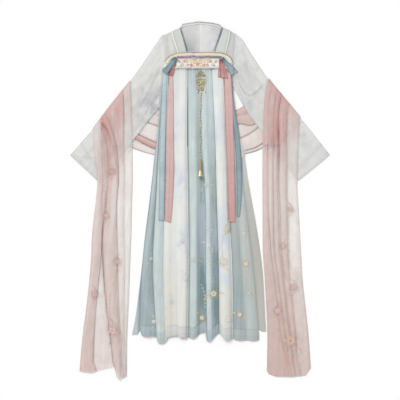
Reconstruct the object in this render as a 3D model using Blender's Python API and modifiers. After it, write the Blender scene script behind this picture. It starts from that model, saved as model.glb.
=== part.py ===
"""A hanfu robe set laid flat: sheer shirt, chest-high pleated skirt, its ties and pendant, and a long shawl.

Metres, +Z up. The cloth lies on z = 0 and the garment's length runs along Y, with the neck at +Y. Every cloth
piece is an open sheet worked out from a short table, laid on the heap of the pieces under it and then
extruded upwards by the wall.
"""

from collections import namedtuple

import bmesh
import bpy
import numpy as np

MM = 0.001
WALL = 1.2 * MM  # thickness of every cloth wall
GAP = 0.3 * MM  # between pieces at a seam
CLEAR = 0.35 * MM  # between a piece and what it lies on
STEEPEST = 0.5  # least upward part of a normal that still thickens the wall

CELL = 2.0 * MM  # grid of the heap's height field
HEAP_X, HEAP_Y = 0.60, 0.80  # half sizes of that field
SOFTEN = 4.0 * MM  # how far a step under the cloth is spread
LAY_STEP = 0.6  # of a cell, the finest step at which a laid piece is read
CREASE = 0.7  # radians between faces past which an edge is shown sharp

PLEAT_TOP = 5.0  # mm, height of the skirt's pleats under the chest band
PLEAT_HEM = 17.0  # mm, their height at the hem
PLEAT_ROWS = 14
ROW_CROWD = 1.25  # power that draws the rows together near the chest band
BOXY = 0.6  # a lobe with less than this is boxy
SIDE_CROWD = 0.72  # power that draws a boxy lobe's columns to its sides

COLOURS = {
    "sheer": (0.80, 0.82, 0.80),
    "white": (0.84, 0.85, 0.83),
    "aqua": (0.62, 0.74, 0.75),
    "blue": (0.40, 0.53, 0.57),
    "teal": (0.28, 0.40, 0.44),
    "pink": (0.70, 0.46, 0.46),
    "rose": (0.72, 0.36, 0.36),
    "cream": (0.85, 0.80, 0.66),
    "cord": (0.34, 0.26, 0.36),
    "gold": (0.75, 0.52, 0.20),
    "pearl": (0.88, 0.85, 0.80),
}
METALS = ("gold",)

# ---------------------------------------------------------------- tables, in millimetres

Span = namedtuple("Span", "left_x left_y right_x right_y")
FoldLine = namedtuple("FoldLine", "at dip")
Sheet = namedtuple("Sheet", "name plan rise colour foot", defaults=(None,))
Lobe = namedtuple("Lobe", "height box columns")

SKIRT_STATIONS = (551, 254, 0, -256, -575)
SKIRT_BACK_EDGES = [  # y, left x, right x
    (585, -150, 139), (530, -156, 134), (483, -160, 136), (415, -165, 144), (347, -173, 155),
    (254, -184, 173), (199, -191, 187), (84, -204, 205), (0, -214, 220), (-167, -235, 249),
    (-311, -250, 267), (-409, -262, 273), (-507, -276, 278), (-575, -289, 282),
]
SKIRT_BACK_HEM = [
    (-289, -575), (-266, -572), (-255, -549), (0, -547), (248, -549), (262, -559), (282, -560),
]
SKIRT_BACK_SHARES = (0, 0.04, 0.08, 0.29, 0.5, 0.71, 0.92, 0.96, 1.0)  # of its width, where columns run

# x of each fold line at the stations from the chest band to the hem, and how high its valley stays
SKIRT_FOLDS = [
    FoldLine((-158, -184, -211, -241, -256), 0.00),
    FoldLine((-153, -171, -184, -197, -182), 0.12),
    FoldLine((-129, -137, -146, -152, -146), 0.18),
    FoldLine((-92, -96, -99, -100, -94), 0.55),
    FoldLine((-55, -54, -52, -48, -46), 0.00),
    FoldLine((-23, -18, -18, -10, -16), 0.22),
    FoldLine((1, 3, 20, 20, 26), 0.16),
    FoldLine((28, 35, 46, 50, 54), 0.32),
    FoldLine((54, 67, 71, 78, 82), 0.00),
    FoldLine((95, 109, 118, 133, 137), 0.00),
    FoldLine((108, 130, 152, 174, 194), 0.25),
    FoldLine((126, 160, 190, 222, 251), 0.00),
]
# height of the cloth between two fold lines, how boxy its section is (1 is round), and its columns
SKIRT_LOBES = [
    Lobe(0.45, 1.0, 4), Lobe(0.45, 1.0, 3), Lobe(0.45, 0.7, 4), Lobe(0.80, 0.45, 5),
    Lobe(0.42, 0.8, 4), Lobe(0.20, 1.0, 3), Lobe(0.50, 0.8, 4), Lobe(0.10, 1.0, 3),
    Lobe(1.00, 0.35, 7), Lobe(0.55, 0.8, 4), Lobe(0.45, 0.8, 5),
]
SKIRT_PANELS = [  # name, first and last fold line, colour
    ("skirt_front_outer_left", 0, 1, "blue"),
    ("skirt_front_aqua_left", 1, 2, "aqua"),
    ("skirt_front_white_left", 2, 4, "white"),
    ("skirt_front_blue_centre", 4, 8, "blue"),
    ("skirt_front_white_right", 8, 9, "white"),
    ("skirt_front_blue_right", 9, 11, "aqua"),
]
SKIRT_TOP = 556
SKIRT_HEM = [
    (-256, -551), (-246, -578), (-211, -574), (-184, -580), (-180, -607), (-157, -608), (-146, -602),
    (-138, -582), (-122, -577), (-98, -573), (-87, -582), (-46, -583), (-33, -588), (-16, -581), (-3, -569),
    (15, -557), (25, -565), (29, -599), (42, -600), (52, -590), (64, -578), (80, -566), (88, -571),
    (101, -589), (135, -587), (151, -592), (205, -594), (251, -596),
]

CHEST_ARC = [
    (-150, 585), (-141, 599), (-124, 613), (-98, 623), (-50, 626), (0, 626), (50, 626), (90, 624),
    (116, 615), (131, 603), (139, 585),
]
CHEST_LOW_LEFT, CHEST_LOW_RIGHT, CHEST_LOW = -156, 135, 556.3
CHEST_ROWS = 5
BINDING_WIDTH, BINDING_PROUD = 14, 1  # mm, and how far it stands out over the band's edge
CORD_Y, CORD_LEFT, CORD_RIGHT, CORD_DIAMETER = 606.5, -100, 92, 5.0
CORD_BOW, CORD_LANE, CORD_POINTS = 1, 3, 13  # mm its ends drop, half width of its lane, points along it
BAND_LEFT, BAND_RIGHT, BAND_TOP, BAND_LOW = -100, 80, 601, 559
TRIM_ROWS, BAND_COLUMNS = 4, 13

SHOULDER = [
    (-150, 702), (-124, 715), (-89, 731), (-82, 735), (-74, 749), (-62, 751.5), (-4, 760), (49, 755),
    (81, 747), (93, 736), (98, 731), (130, 720), (150, 706),
]
SHIRT_HEM = 300
ARMHOLE_LEFT = [(430, -141), (702, -150)]  # y and x at both ends of the seam, which is the body's side too
ARMHOLE_RIGHT = [(499, 130), (706, 150)]
BACK_NECK = [(-78, 738), (-73, 746), (-61, 749.5), (-4, 758), (48, 753), (80, 745), (88, 738)]
NECK_STRIP = 7
FRONT_LEFT = [
    Span(-150, 702, -82, 734), Span(-147, 640, -68, 687), Span(-145, 590, -55, 637),
    Span(-142, 500, -45, 540), Span(-141, 400, -38, 420), Span(-145, 300, -35, 300),
]
FRONT_RIGHT = [
    Span(93, 735, 150, 706), Span(77, 687, 147, 650), Span(60, 637, 141, 590),
    Span(48, 540, 130, 500), Span(38, 420, 128, 400), Span(33, 300, 125, 300),
]
COLLAR_LEFT = [
    Span(-122, 715.5, -81, 734), Span(-112, 676, -67, 686), Span(-101, 640, -54, 637),
    Span(-90, 592, -47, 592),
]
COLLAR_RIGHT = [
    Span(92, 735, 130, 719), Span(76, 686, 124, 680), Span(59, 637, 114, 639), Span(50, 592, 104, 592),
]
BODY_ROWS, FRONT_COLUMNS, COLLAR_ROWS, COLLAR_COLUMNS = 12, 5, 7, 4

SLEEVE_LEFT = [  # low edge, then top edge
    Span(-141.3, 430, -150.3, 702), Span(-160, 411, -163, 696), Span(-172, 394, -188, 661),
    Span(-215, 342, -225, 605), Span(-257, 287, -256, 561), Span(-300, 231, -296, 505),
    Span(-343, 170, -382, 396), Span(-385, 128, -446, 312), Span(-438.5, 84.5, -551, 190),
]
SLEEVE_RIGHT = [
    Span(130.3, 499, 150.3, 706), Span(146, 472, 163, 697), Span(160, 445, 185, 675),
    Span(181, 407, 213, 628), Span(218, 347, 258, 560), Span(259, 296, 296, 506),
    Span(320, 214, 385, 398), Span(369, 142, 467, 299), Span(417, 82, 551, 192),
]
SLEEVE_ROWS, SLEEVE_COLUMNS = 17, 9
SLEEVE_PUFF = 0.6  # mm, how far the upper panel stands up between its edges
SLEEVE_SLANT = 0.6  # how far a wrinkle crosses the sleeve for each share of its length
SLEEVE_EDGE = 0.12  # share of the width at both edges where the wrinkles die out
SLEEVE_FOLDS = [  # share of the width, share of the length, half width and half length as shares, height
    (0.30, 0.18, 0.07, 0.16, 3.2), (0.62, 0.30, 0.08, 0.14, 2.6), (0.45, 0.46, 0.06, 0.12, 3.0),
    (0.74, 0.55, 0.07, 0.15, 2.2), (0.30, 0.72, 0.07, 0.16, 3.0), (0.66, 0.86, 0.07, 0.12, 2.6),
]

FOLD_SAMPLES = 401  # places at which a sleeve's fold is read
SHAWL_ROLL = [5.0, 2.2, -3.5]  # outside the sleeve's fold, mm: foot, shoulder and first line of the roll
SHAWL_LEFT = [  # left and right edges from the sleeve's fold down to the hem
    Span(-453, 303, -297, 505), Span(-453, 262, -291, 400), Span(-447, 173, -288, 260),
    Span(-436, 77, -286, 100), Span(-443, -5, -289, -10), Span(-459, -151, -292, -150),
    Span(-463, -255, -296, -255), Span(-481, -440, -303, -440), Span(-499, -577, -309, -577),
    Span(-509, -690, -311, -690),
]
SHAWL_LEFT_HEM = [
    (-512, -728), (-457, -731), (-408, -714), (-364, -702), (-354, -751), (-347, -761.5), (-311, -746),
]
SHAWL_LEFT_FOLDS = [  # share of the width at each of the stations and at the hem
    FoldLine((0.00,) * 11, 0.0),
    FoldLine((0.12, 0.12, 0.12, 0.12, 0.13, 0.15, 0.17, 0.17, 0.20, 0.24, 0.25), 0.25),
    FoldLine((0.29, 0.28, 0.27, 0.27, 0.28, 0.29, 0.33, 0.45, 0.57, 0.70, 0.74), 0.10),
    FoldLine((0.46, 0.45, 0.45, 0.45, 0.48, 0.56, 0.63, 0.74, 0.79, 0.84, 0.86), 0.05),
    FoldLine((0.64, 0.63, 0.62, 0.60, 0.63, 0.72, 0.79, 0.87, 0.90, 0.93, 0.94), 0.25),
    FoldLine((1.00,) * 11, 0.0),
]
SHAWL_LEFT_LOBES = [
    Lobe(0.7, 0.8, 4), Lobe(0.8, 0.8, 5), Lobe(1.0, 0.7, 5), Lobe(0.6, 0.9, 4), Lobe(0.45, 0.7, 4),
]
SHAWL_RIGHT = [
    Span(288, 511, 424, 355), Span(275, 440, 420, 300), Span(268, 300, 417, 225),
    Span(266, 190, 415, 150), Span(265, 73, 413, 73), Span(266, -38, 420, -50),
    Span(267, -213, 429, -213), Span(276, -350, 437, -350), Span(286, -560, 459, -550),
    Span(285, -690, 469, -680),
]
SHAWL_RIGHT_HEM = [(284, -727), (293, -741), (326, -751), (383, -752), (448, -746), (471, -715)]
SHAWL_RIGHT_FOLDS = [
    FoldLine((0.00,) * 11, 0.0),
    FoldLine((0.11, 0.11, 0.11, 0.11, 0.11, 0.12, 0.19, 0.24, 0.26, 0.33, 0.40), 0.25),
    FoldLine((0.32, 0.32, 0.32, 0.32, 0.33, 0.34, 0.37, 0.42, 0.46, 0.50, 0.54), 0.15),
    FoldLine((0.47, 0.47, 0.47, 0.47, 0.48, 0.50, 0.53, 0.57, 0.60, 0.60, 0.62), 0.05),
    FoldLine((0.69, 0.69, 0.69, 0.69, 0.69, 0.70, 0.71, 0.72, 0.73, 0.70, 0.68), 0.10),
    FoldLine((1.00,) * 11, 0.0),
]
SHAWL_RIGHT_LOBES = [
    Lobe(0.5, 0.9, 4), Lobe(0.9, 0.8, 5), Lobe(1.0, 0.8, 4), Lobe(0.8, 0.7, 5), Lobe(0.5, 0.6, 5),
]
SHAWL_RISE = [1.5, 4.0, 5.0, 7.0, 8.5, 9.0, 9.0, 9.5, 10.0, 10.0, 9.0]  # mm at the stations and the hem
SHAWL_ROWS = 26

SHAWL_BACK = [  # low edge and top edge, from the left sleeve's fold to the right one's
    Span(-453, 303, -297, 505), Span(-370, 262, -262, 462), Span(-282, 218, -205, 414),
    Span(-192, 190, -150, 378), Span(-96, 174, -75, 356), Span(0, 168, 0, 347),
    Span(96, 174, 75, 356), Span(190, 194, 150, 381), Span(262, 218, 196, 410),
    Span(345, 282, 244, 463), Span(424, 355, 288, 511),
]
SHAWL_BACK_FOLDS = [
    FoldLine((0.00,) * 11, 0.0),
    FoldLine((0.10, 0.12, 0.16, 0.18, 0.20, 0.20, 0.20, 0.20, 0.18, 0.14, 0.10), 0.1),
    FoldLine((0.30, 0.33, 0.36, 0.38, 0.40, 0.40, 0.40, 0.40, 0.38, 0.34, 0.30), 0.2),
    FoldLine((0.55, 0.56, 0.58, 0.60, 0.60, 0.60, 0.60, 0.62, 0.62, 0.58, 0.55), 0.1),
    FoldLine((0.80, 0.80, 0.80, 0.80, 0.80, 0.80, 0.80, 0.80, 0.80, 0.80, 0.80), 0.1),
    FoldLine((1.00,) * 11, 0.0),
]
SHAWL_BACK_LOBES = [
    Lobe(0.7, 0.9, 3), Lobe(1.0, 0.9, 3), Lobe(0.8, 0.9, 3), Lobe(0.7, 0.9, 3), Lobe(0.6, 0.9, 3),
]
SHAWL_BACK_RISE = [0.0, 1.2, 3.0, 3.6, 2.5, 2.0, 2.5, 3.6, 3.0, 1.2, 0.0]
SHAWL_BACK_ROWS = 22

RIBBONS = {  # left and right edges from the chest band down
    "ribbon_teal_left": [Span(-158, 548, -138, 548), Span(-164, 400, -143, 400), Span(-170, 250, -146, 250),
                         Span(-174, 0, -150, 0), Span(-176, -88, -152, -88)],
    "ribbon_teal_right": [Span(122, 540, 133, 540), Span(130, 400, 146, 400), Span(146, 270, 167, 270),
                          Span(153, 128, 177, 128), Span(156, 0, 176, 0), Span(157, -71, 169, -71)],
    "ribbon_pink_left": [Span(-131, 548, -114, 548), Span(-138, 400, -112, 400), Span(-143, 300, -112, 300),
                         Span(-146, 128, -110, 128), Span(-148, 0, -115, 0), Span(-149, -88, -124, -97)],
    "ribbon_pink_right": [Span(100, 548, 130, 548), Span(104, 400, 140, 400), Span(107, 300, 142, 300),
                          Span(114, 128, 147, 128), Span(118, 0, 149, 0), Span(122, -93, 149, -95)],
}
RIBBON_ROWS, RIBBON_CROWN = 18, 0.8  # rows, and mm that its middle stands up
TIES = {
    "tie_pink_left": [Span(-110, 598, -101, 598), Span(-118, 565, -107, 562), Span(-131, 529, -115, 525)],
    "tie_pink_right": [Span(82, 596, 95, 596), Span(80, 560, 107, 560), Span(76, 521, 119, 514)],
    "tie_teal_left": [Span(-108, 606, -94, 598), Span(-134, 577, -117, 564), Span(-161, 549, -141, 531)],
    "tie_teal_right": [Span(92, 601, 97, 606), Span(112, 562, 130, 575), Span(131, 528, 163, 544)],
}
TIE_ROWS, TIE_CROWN = 7, (0, 2.5, 0.3, 2.2, 0)  # rows, and mm that its two soft folds stand up at the end

PENDANT_X = 4
FAN_TOP, FAN_LOW, FAN_HALF = 548, 523, 21
FAN_POINTS = 13
DROP_TOP, DROP_LOW, DROP_HALF = 511, 460.8, 22.5
DROP_TIP, DROP_BELLY, DROP_POINTS = 1.5, 0.8, 6  # mm at its tip, and the power that swells its sides
PENDANT_THICK = 2.0
PEARLS = [(-12, 461), (4, 457), (20, 461)]
PEARL_RADIUS = 3.5
CHAIN = [
    (4, 453.2), (2, 424), (3, 396), (-1, 360), (2, 320), (0, 285), (2, 250), (-1, 215), (1, 190),
    (1, 171.8),
]
CHAIN_DIAMETER, CHAIN_POINTS = 3.0, 34
BEAD_TOP, BEAD_LOW, BEAD_RADIUS = 171.5, 126, 5.5
BELL_TOP, BELL_LOW, BELL_RADIUS = 125.7, 100, 11
BEAD_PROFILE = [(0, 0.5), (0.08, 1), (0.92, 1), (1, 0.5)]  # shares of the length and of the radius
BELL_PROFILE = [(0, 0.3), (0.18, 0.42), (0.5, 0.62), (0.85, 0.95), (1, 1)]
TURNED_SIDES = 12
MERGE = 0.00001  # metres, distance at which a screwed profile's ends are joined on its axis


# ---------------------------------------------------------------- curves and the heap

def smooth(knots, values, where):
    """Cubic through the values at the knots, read at each place; the values may be points."""
    knots = np.asarray(knots, float)
    values = np.asarray(values, float)
    if knots[0] > knots[-1]:
        knots, values = knots[::-1], values[::-1]
    slopes = np.gradient(values, knots, axis=0)
    where = np.clip(np.asarray(where, float), knots[0], knots[-1])
    k = np.clip(np.searchsorted(knots, where, side="right") - 1, 0, len(knots) - 2)
    step = (knots[k + 1] - knots[k])
    u = (where - knots[k]) / step
    if values.ndim > 1:
        step, u = step[..., None], u[..., None]
    return ((2 * u**3 - 3 * u**2 + 1) * values[k] + (u**3 - 2 * u**2 + u) * step * slopes[k]
            + (3 * u**2 - 2 * u**3) * values[k + 1] + (u**3 - u**2) * step * slopes[k + 1])


def polyline(points, where):
    """Points of a polyline at shares of its length."""
    points = np.asarray(points, float)
    length = np.r_[0, np.cumsum(np.hypot(*np.diff(points, axis=0).T))]
    share = length / length[-1]
    return np.stack([np.interp(where, share, points[:, i]) for i in (0, 1)], axis=-1)


def window_max(field, cells, axis):
    """Largest value within so many cells to both sides along one axis, by windows that double."""
    grown = np.pad(field, [(cells, cells) if a == axis else (0, 0) for a in (0, 1)])
    grown = np.moveaxis(grown, axis, 0)
    count, width = field.shape[axis], 1
    while 2 * width <= 2 * cells + 1:
        grown = np.maximum(grown[:-width], grown[width:])
        width *= 2
    rest = 2 * cells + 1 - width
    return np.moveaxis(np.maximum(grown[:count], grown[rest:rest + count]), 0, axis)


def window_mean(field, cells, axis):
    """Mean over so many cells to both sides along one axis."""
    grown = np.pad(field, [(cells + 1, cells) if a == axis else (0, 0) for a in (0, 1)], mode="edge")
    total = np.moveaxis(np.cumsum(grown, axis=axis), axis, 0)
    width = 2 * cells + 1
    return np.moveaxis((total[width:] - total[:-width]) / width, 0, axis)


class Heap:
    """The heights of the pieces laid so far, as a field over the floor."""

    def __init__(self):
        """The bare floor."""
        self.top = np.zeros((int(2 * HEAP_Y / CELL) + 1, int(2 * HEAP_X / CELL) + 1))

    def cells(self, x, y):
        """Row and column of a place, as fractions of cells."""
        return (y + HEAP_Y) / CELL, (x + HEAP_X) / CELL

    def lay(self, upper):
        """Adds a piece by its grid of upper points, read on both diagonals of each quad."""
        a, b, c, d = upper[:-1, :-1], upper[1:, :-1], upper[:-1, 1:], upper[1:, 1:]
        fine_u = int(np.ceil(np.abs(b - a)[..., :2].max() / (CELL * LAY_STEP))) + 1
        fine_v = int(np.ceil(np.abs(c - a)[..., :2].max() / (CELL * LAY_STEP))) + 1
        for u in np.linspace(0, 1, fine_u):
            for v in np.linspace(0, 1, fine_v):
                flat = (1 - u) * (1 - v) * a + u * (1 - v) * b + (1 - u) * v * c + u * v * d
                one = a + (b - a) * u + (d - b) * v if u >= v else a + (c - a) * v + (d - c) * u
                two = (a + (b - a) * u + (c - a) * v if u + v <= 1
                       else d + (c - d) * (1 - u) + (b - d) * (1 - v))
                row, column = self.cells(flat[..., 0], flat[..., 1])
                height = np.maximum(one[..., 2], two[..., 2])
                np.maximum.at(self.top, (np.rint(row).astype(int), np.rint(column).astype(int)), height)

    def cover(self, reach_x, reach_y, soften=0.0):
        """Height at which a piece whose faces reach so far lies clear of the heap: a function of x and y."""
        soft = int(round(soften / CELL))
        field = window_max(self.top, int(np.ceil(reach_x / CELL)) + soft + 2, 1)
        field = window_max(field, int(np.ceil(reach_y / CELL)) + soft + 2, 0)
        if soft:
            field = window_mean(window_mean(field, soft, 1), soft, 0)

        def height(x, y):
            row, column = self.cells(np.asarray(x, float), np.asarray(y, float))
            r, c = np.floor(row).astype(int), np.floor(column).astype(int)
            fr, fc = row - r, column - c
            value = ((1 - fr) * (1 - fc) * field[r, c] + (1 - fr) * fc * field[r, c + 1]
                     + fr * (1 - fc) * field[r + 1, c] + fr * fc * field[r + 1, c + 1])
            return value + CLEAR * np.clip(value / MM, 0, 1)

        return height


def row_reach(plans):
    """For each row of plans that lie side by side: the most that a face beside it spans along x and y."""
    spans = []
    for plan in plans:
        corners = np.stack([plan[:-1, :-1], plan[1:, :-1], plan[:-1, 1:], plan[1:, 1:]])
        spans.append((corners.max(axis=0) - corners.min(axis=0)).max(axis=1))
    faces = np.max(spans, axis=0)
    return np.maximum(np.concatenate([faces, faces[-1:]]), np.concatenate([faces[:1], faces]))


# ---------------------------------------------------------------- objects

def material(colour):
    """The material of one colour, made when it is first asked for."""
    made = bpy.data.materials.get(colour)
    if made is None:
        made = bpy.data.materials.new(colour)
        made.use_nodes = True
        shader = made.node_tree.nodes["Principled BSDF"]
        shader.inputs["Base Color"].default_value = (*COLOURS[colour], 1.0)
        shader.inputs["Roughness"].default_value = 0.35 if colour in METALS else 0.8
        shader.inputs["Metallic"].default_value = 1.0 if colour in METALS else 0.0
    return made


def add_object(name, mesh, colour, collection, parent):
    """One named object of a mesh or a curve, with its material, in the collection and under the parent."""
    piece = bpy.data.objects.new(name, mesh)
    piece.data.materials.append(material(colour))
    collection.objects.link(piece)
    piece.parent = parent
    return piece


def wall_heights(lower):
    """Upward thickness at each point of a sheet, so that the wall square to the cloth keeps its size."""
    along = np.gradient(lower, axis=0)
    across = np.gradient(lower, axis=1)
    normal = np.cross(along, across)
    upward = np.abs(normal[..., 2]) / np.linalg.norm(normal, axis=-1)
    return WALL / np.clip(upward, STEEPEST, 1.0)


def sheet_mesh(name, lower, thick):
    """Closed wall: the open sheet of lower points, with its faces extruded upwards."""
    bm = bmesh.new()
    wall = bm.verts.layers.float.new("wall")
    rows, columns = lower.shape[:2]
    verts = [bm.verts.new(point) for point in lower.reshape(-1, 3).tolist()]
    for vert, height in zip(verts, thick.reshape(-1).tolist()):
        vert[wall] = height
    for r in range(rows - 1):
        for c in range(columns - 1):
            k = r * columns + c
            bm.faces.new((verts[k], verts[k + 1], verts[k + columns + 1], verts[k + columns]))
    raised = bmesh.ops.extrude_face_region(bm, geom=bm.faces[:])
    for part in raised["geom"]:
        if isinstance(part, bmesh.types.BMVert):
            part.co.z += part[wall]
    bmesh.ops.triangulate(bm, faces=bm.faces[:])
    bmesh.ops.recalc_face_normals(bm, faces=bm.faces[:])
    mesh = bpy.data.meshes.new(name)
    bm.to_mesh(mesh)
    bm.free()
    mesh.shade_smooth()
    mesh.set_sharp_from_angle(angle=CREASE)
    return mesh


class Wardrobe:
    """Makes the pieces in the order in which they are laid down."""

    def __init__(self, collection, parent):
        """An empty heap, and where the objects go."""
        self.collection = collection
        self.parent = parent
        self.heap = Heap()

    def lay_sheets(self, sheets):
        """Lays sheets side by side. A rise is a height over the heap, a foot the first row's own height."""
        made = []
        for sheet in sheets:
            reach = row_reach([other.plan for other in sheets if len(other.plan) == len(sheet.plan)])
            height = np.empty(sheet.rise.shape)
            for row, (x, y) in enumerate(reach):
                ground = self.heap.cover(x, y, SOFTEN)
                height[row] = ground(sheet.plan[row, :, 0], sheet.plan[row, :, 1]) + sheet.rise[row]
            if sheet.foot is not None:
                height[0] = sheet.foot
            lower = np.concatenate([sheet.plan, height[..., None]], axis=-1)
            thick = wall_heights(lower)
            mesh = sheet_mesh(sheet.name, lower, thick)
            add_object(sheet.name, mesh, sheet.colour, self.collection, self.parent)
            made.append(lower + np.stack([0 * thick, 0 * thick, thick], axis=-1))
        for upper in made:
            self.heap.lay(upper)

    def add_solid(self, name, mesh, colour):
        """An object that isn't a sheet."""
        return add_object(name, mesh, colour, self.collection, self.parent)


# ---------------------------------------------------------------- plans

def flat_sheet(name, plan, colour):
    """A sheet with no folds of its own."""
    return Sheet(name, plan, np.zeros(plan.shape[:2]), colour)


def ladder(spans, rows, columns):
    """Plan between the two edges of a table of spans, in metres."""
    table = np.asarray(spans, float)
    t = np.linspace(0, len(spans) - 1, rows)
    edges = smooth(np.arange(len(spans)), table, t)
    s = np.linspace(0, 1, columns)[None, :, None]
    return ((1 - s) * edges[:, None, :2] + s * edges[:, None, 2:]) * MM


def lobe_columns(lobes, first, last):
    """For the columns between two fold lines: the index of the line before each, and the share past it."""
    index, share = [], []
    for k in range(first, last):
        parts = lobes[k].columns
        ends = parts + 1 if k == last - 1 else parts
        u = np.linspace(0, 1, parts + 1)[:ends]
        if lobes[k].box < BOXY:
            u = 0.5 - 0.5 * np.sign(1 - 2 * u) * np.abs(1 - 2 * u) ** SIDE_CROWD
        index += [k] * ends
        share += u.tolist()
    return np.array(index), np.array(share)


def lobe_height(folds, lobes, index, share):
    """Each column's height as a share of the fold height: a rounded lobe over the line between two dips."""
    dips = np.array([fold.dip for fold in folds])
    tall = np.array([lobe.height for lobe in lobes])[index]
    box = np.array([lobe.box for lobe in lobes])[index]
    line = dips[index] * (1 - share) + dips[index + 1] * share
    return line + np.clip(tall - line, 0, None) * np.sin(np.pi * share).clip(0) ** box


def skirt_panel(first, last):
    """Plan and rise of the skirt's front between two of its fold lines."""
    index, share = lobe_columns(SKIRT_LOBES, first, last)
    at = np.array([fold.at for fold in SKIRT_FOLDS], float)
    hem_x = at[index, -1] * (1 - share) + at[index + 1, -1] * share
    hem = np.array(SKIRT_HEM, float)
    hem_y = np.interp(hem_x, hem[:, 0], hem[:, 1])
    t = np.linspace(0, 1, PLEAT_ROWS)[:, None] ** ROW_CROWD
    y = SKIRT_TOP + t * (hem_y - SKIRT_TOP)[None, :]
    lines = smooth(SKIRT_STATIONS, at.T, y)
    columns = np.arange(len(index))
    x = lines[:, columns, index] * (1 - share) + lines[:, columns, index + 1] * share
    x[:, 0] += GAP / MM / 2 * (first > 0)
    x[:, -1] -= GAP / MM / 2 * (last < len(SKIRT_FOLDS) - 1)
    tall = PLEAT_TOP + t * (PLEAT_HEM - PLEAT_TOP)
    rise = lobe_height(SKIRT_FOLDS, SKIRT_LOBES, index, share)[None, :] * tall
    return np.stack([x, y], axis=-1) * MM, rise * MM


def folded_stretch(spans, hem, folds, lobes, rises, rows):
    """Plan and rise of a stretch of the shawl whose fold lines run along it."""
    index, share = lobe_columns(lobes, 0, len(lobes))
    table = np.asarray(spans, float)
    stations = np.arange(len(folds[0].at))
    t = np.linspace(0, stations[-1], rows)
    at = smooth(stations, np.array([fold.at for fold in folds]).T, t)
    s = at[:, index] * (1 - share) + at[:, index + 1] * share
    edges = smooth(np.arange(len(spans)), table, np.clip(t, 0, len(spans) - 1))
    points = (1 - s[..., None]) * edges[:, None, :2] + s[..., None] * edges[:, None, 2:]
    if hem is not None:
        last = polyline(hem, s[-1])
        blend = np.clip(t - (len(spans) - 1), 0, 1)[:, None, None]
        points = (1 - blend) * points + blend * last[None]
    rise = lobe_height(folds, lobes, index, share)[None, :] * smooth(stations, rises, t)[:, None]
    return points * MM, rise * MM


def along_fold(row, sleeve, offset):
    """The points of a row moved to the sleeve's top fold, and so far outside it in millimetres."""
    table = np.asarray(sleeve, float)[:, 2:]
    fold = smooth(np.arange(len(table)), table, np.linspace(0, len(table) - 1, FOLD_SAMPLES)) * MM
    nearest = [np.argmin(np.linalg.norm(fold - end, axis=1)) for end in (row[0], row[-1])]
    share = np.linalg.norm(row - row[0], axis=1) / np.linalg.norm(row[-1] - row[0])
    index = np.rint(nearest[0] + share * (nearest[1] - nearest[0])).astype(int)
    tangent = np.gradient(fold, axis=0)[index]
    outward = np.stack([-tangent[:, 1], tangent[:, 0]], -1) / np.linalg.norm(tangent, axis=1)[:, None]
    low_edge = np.asarray(sleeve, float)[:, :2].mean(axis=0) * MM
    if outward[0] @ (low_edge - fold[index[0]]) > 0:
        outward = -outward
    return fold[index] + outward * offset * MM


def rolled_over(plan, rise, sleeve):
    """Replaces a shawl end's first row by the rows that bring it round the sleeve's fold."""
    rows = [along_fold(plan[0], sleeve, offset) for offset in SHAWL_ROLL]
    return np.concatenate([np.stack(rows), plan[1:]]), np.concatenate([rise[:1], rise[:1], rise])


# ---------------------------------------------------------------- sub-assemblies

def make_shawl_back(wardrobe):
    """The stretch of the shawl that hangs in a swoop behind the skirt."""
    plan, rise = folded_stretch(SHAWL_BACK, None, SHAWL_BACK_FOLDS, SHAWL_BACK_LOBES, SHAWL_BACK_RISE,
                                SHAWL_BACK_ROWS)
    plan[0] = along_fold(plan[0], SLEEVE_LEFT, SHAWL_ROLL[0])
    plan[-1] = along_fold(plan[-1], SLEEVE_RIGHT, SHAWL_ROLL[0])
    wardrobe.lay_sheets([Sheet("shawl_back", plan, rise, "pink")])


def make_skirt_back(wardrobe):
    """The plain back of the skirt, which shows at both sides and under the hem."""
    edges = np.array(SKIRT_BACK_EDGES, float)
    hem = np.array(SKIRT_BACK_HEM, float)
    share = np.array(SKIRT_BACK_SHARES)
    hem_x = edges[-1, 1] + share * (edges[-1, 2] - edges[-1, 1])
    t = np.linspace(0, 1, PLEAT_ROWS + 2)[:, None]
    y = edges[0, 0] + t * (np.interp(hem_x, hem[:, 0], hem[:, 1]) - edges[0, 0])
    sides = smooth(edges[:, 0], edges[:, 1:], y)
    x = sides[..., 0] * (1 - share) + sides[..., 1] * share
    wardrobe.lay_sheets([Sheet("skirt_back", np.stack([x, y], axis=-1) * MM, 0 * x, "aqua")])


def sleeve_rise(shape):
    """Soft wrinkles over a sleeve's upper panel."""
    t, s = np.meshgrid(np.linspace(0, 1, shape[0]), np.linspace(0, 1, shape[1]), indexing="ij")
    rise = SLEEVE_PUFF * np.sin(np.pi * s)
    for across, along, half_width, half_length, height in SLEEVE_FOLDS:
        slanted = s - across - SLEEVE_SLANT * (t - along)
        rise += height * np.exp(-(slanted / half_width) ** 2 - ((t - along) / half_length) ** 2)
    edge = np.clip(np.minimum(s, 1 - s) / SLEEVE_EDGE, 0, 1)
    return rise * edge * MM


def side_x(armhole, y):
    """Where the shirt body's side runs, in millimetres."""
    (low_y, low_x), (top_y, top_x) = armhole
    return low_x + (y - low_y) * (top_x - low_x) / (top_y - low_y)


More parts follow.
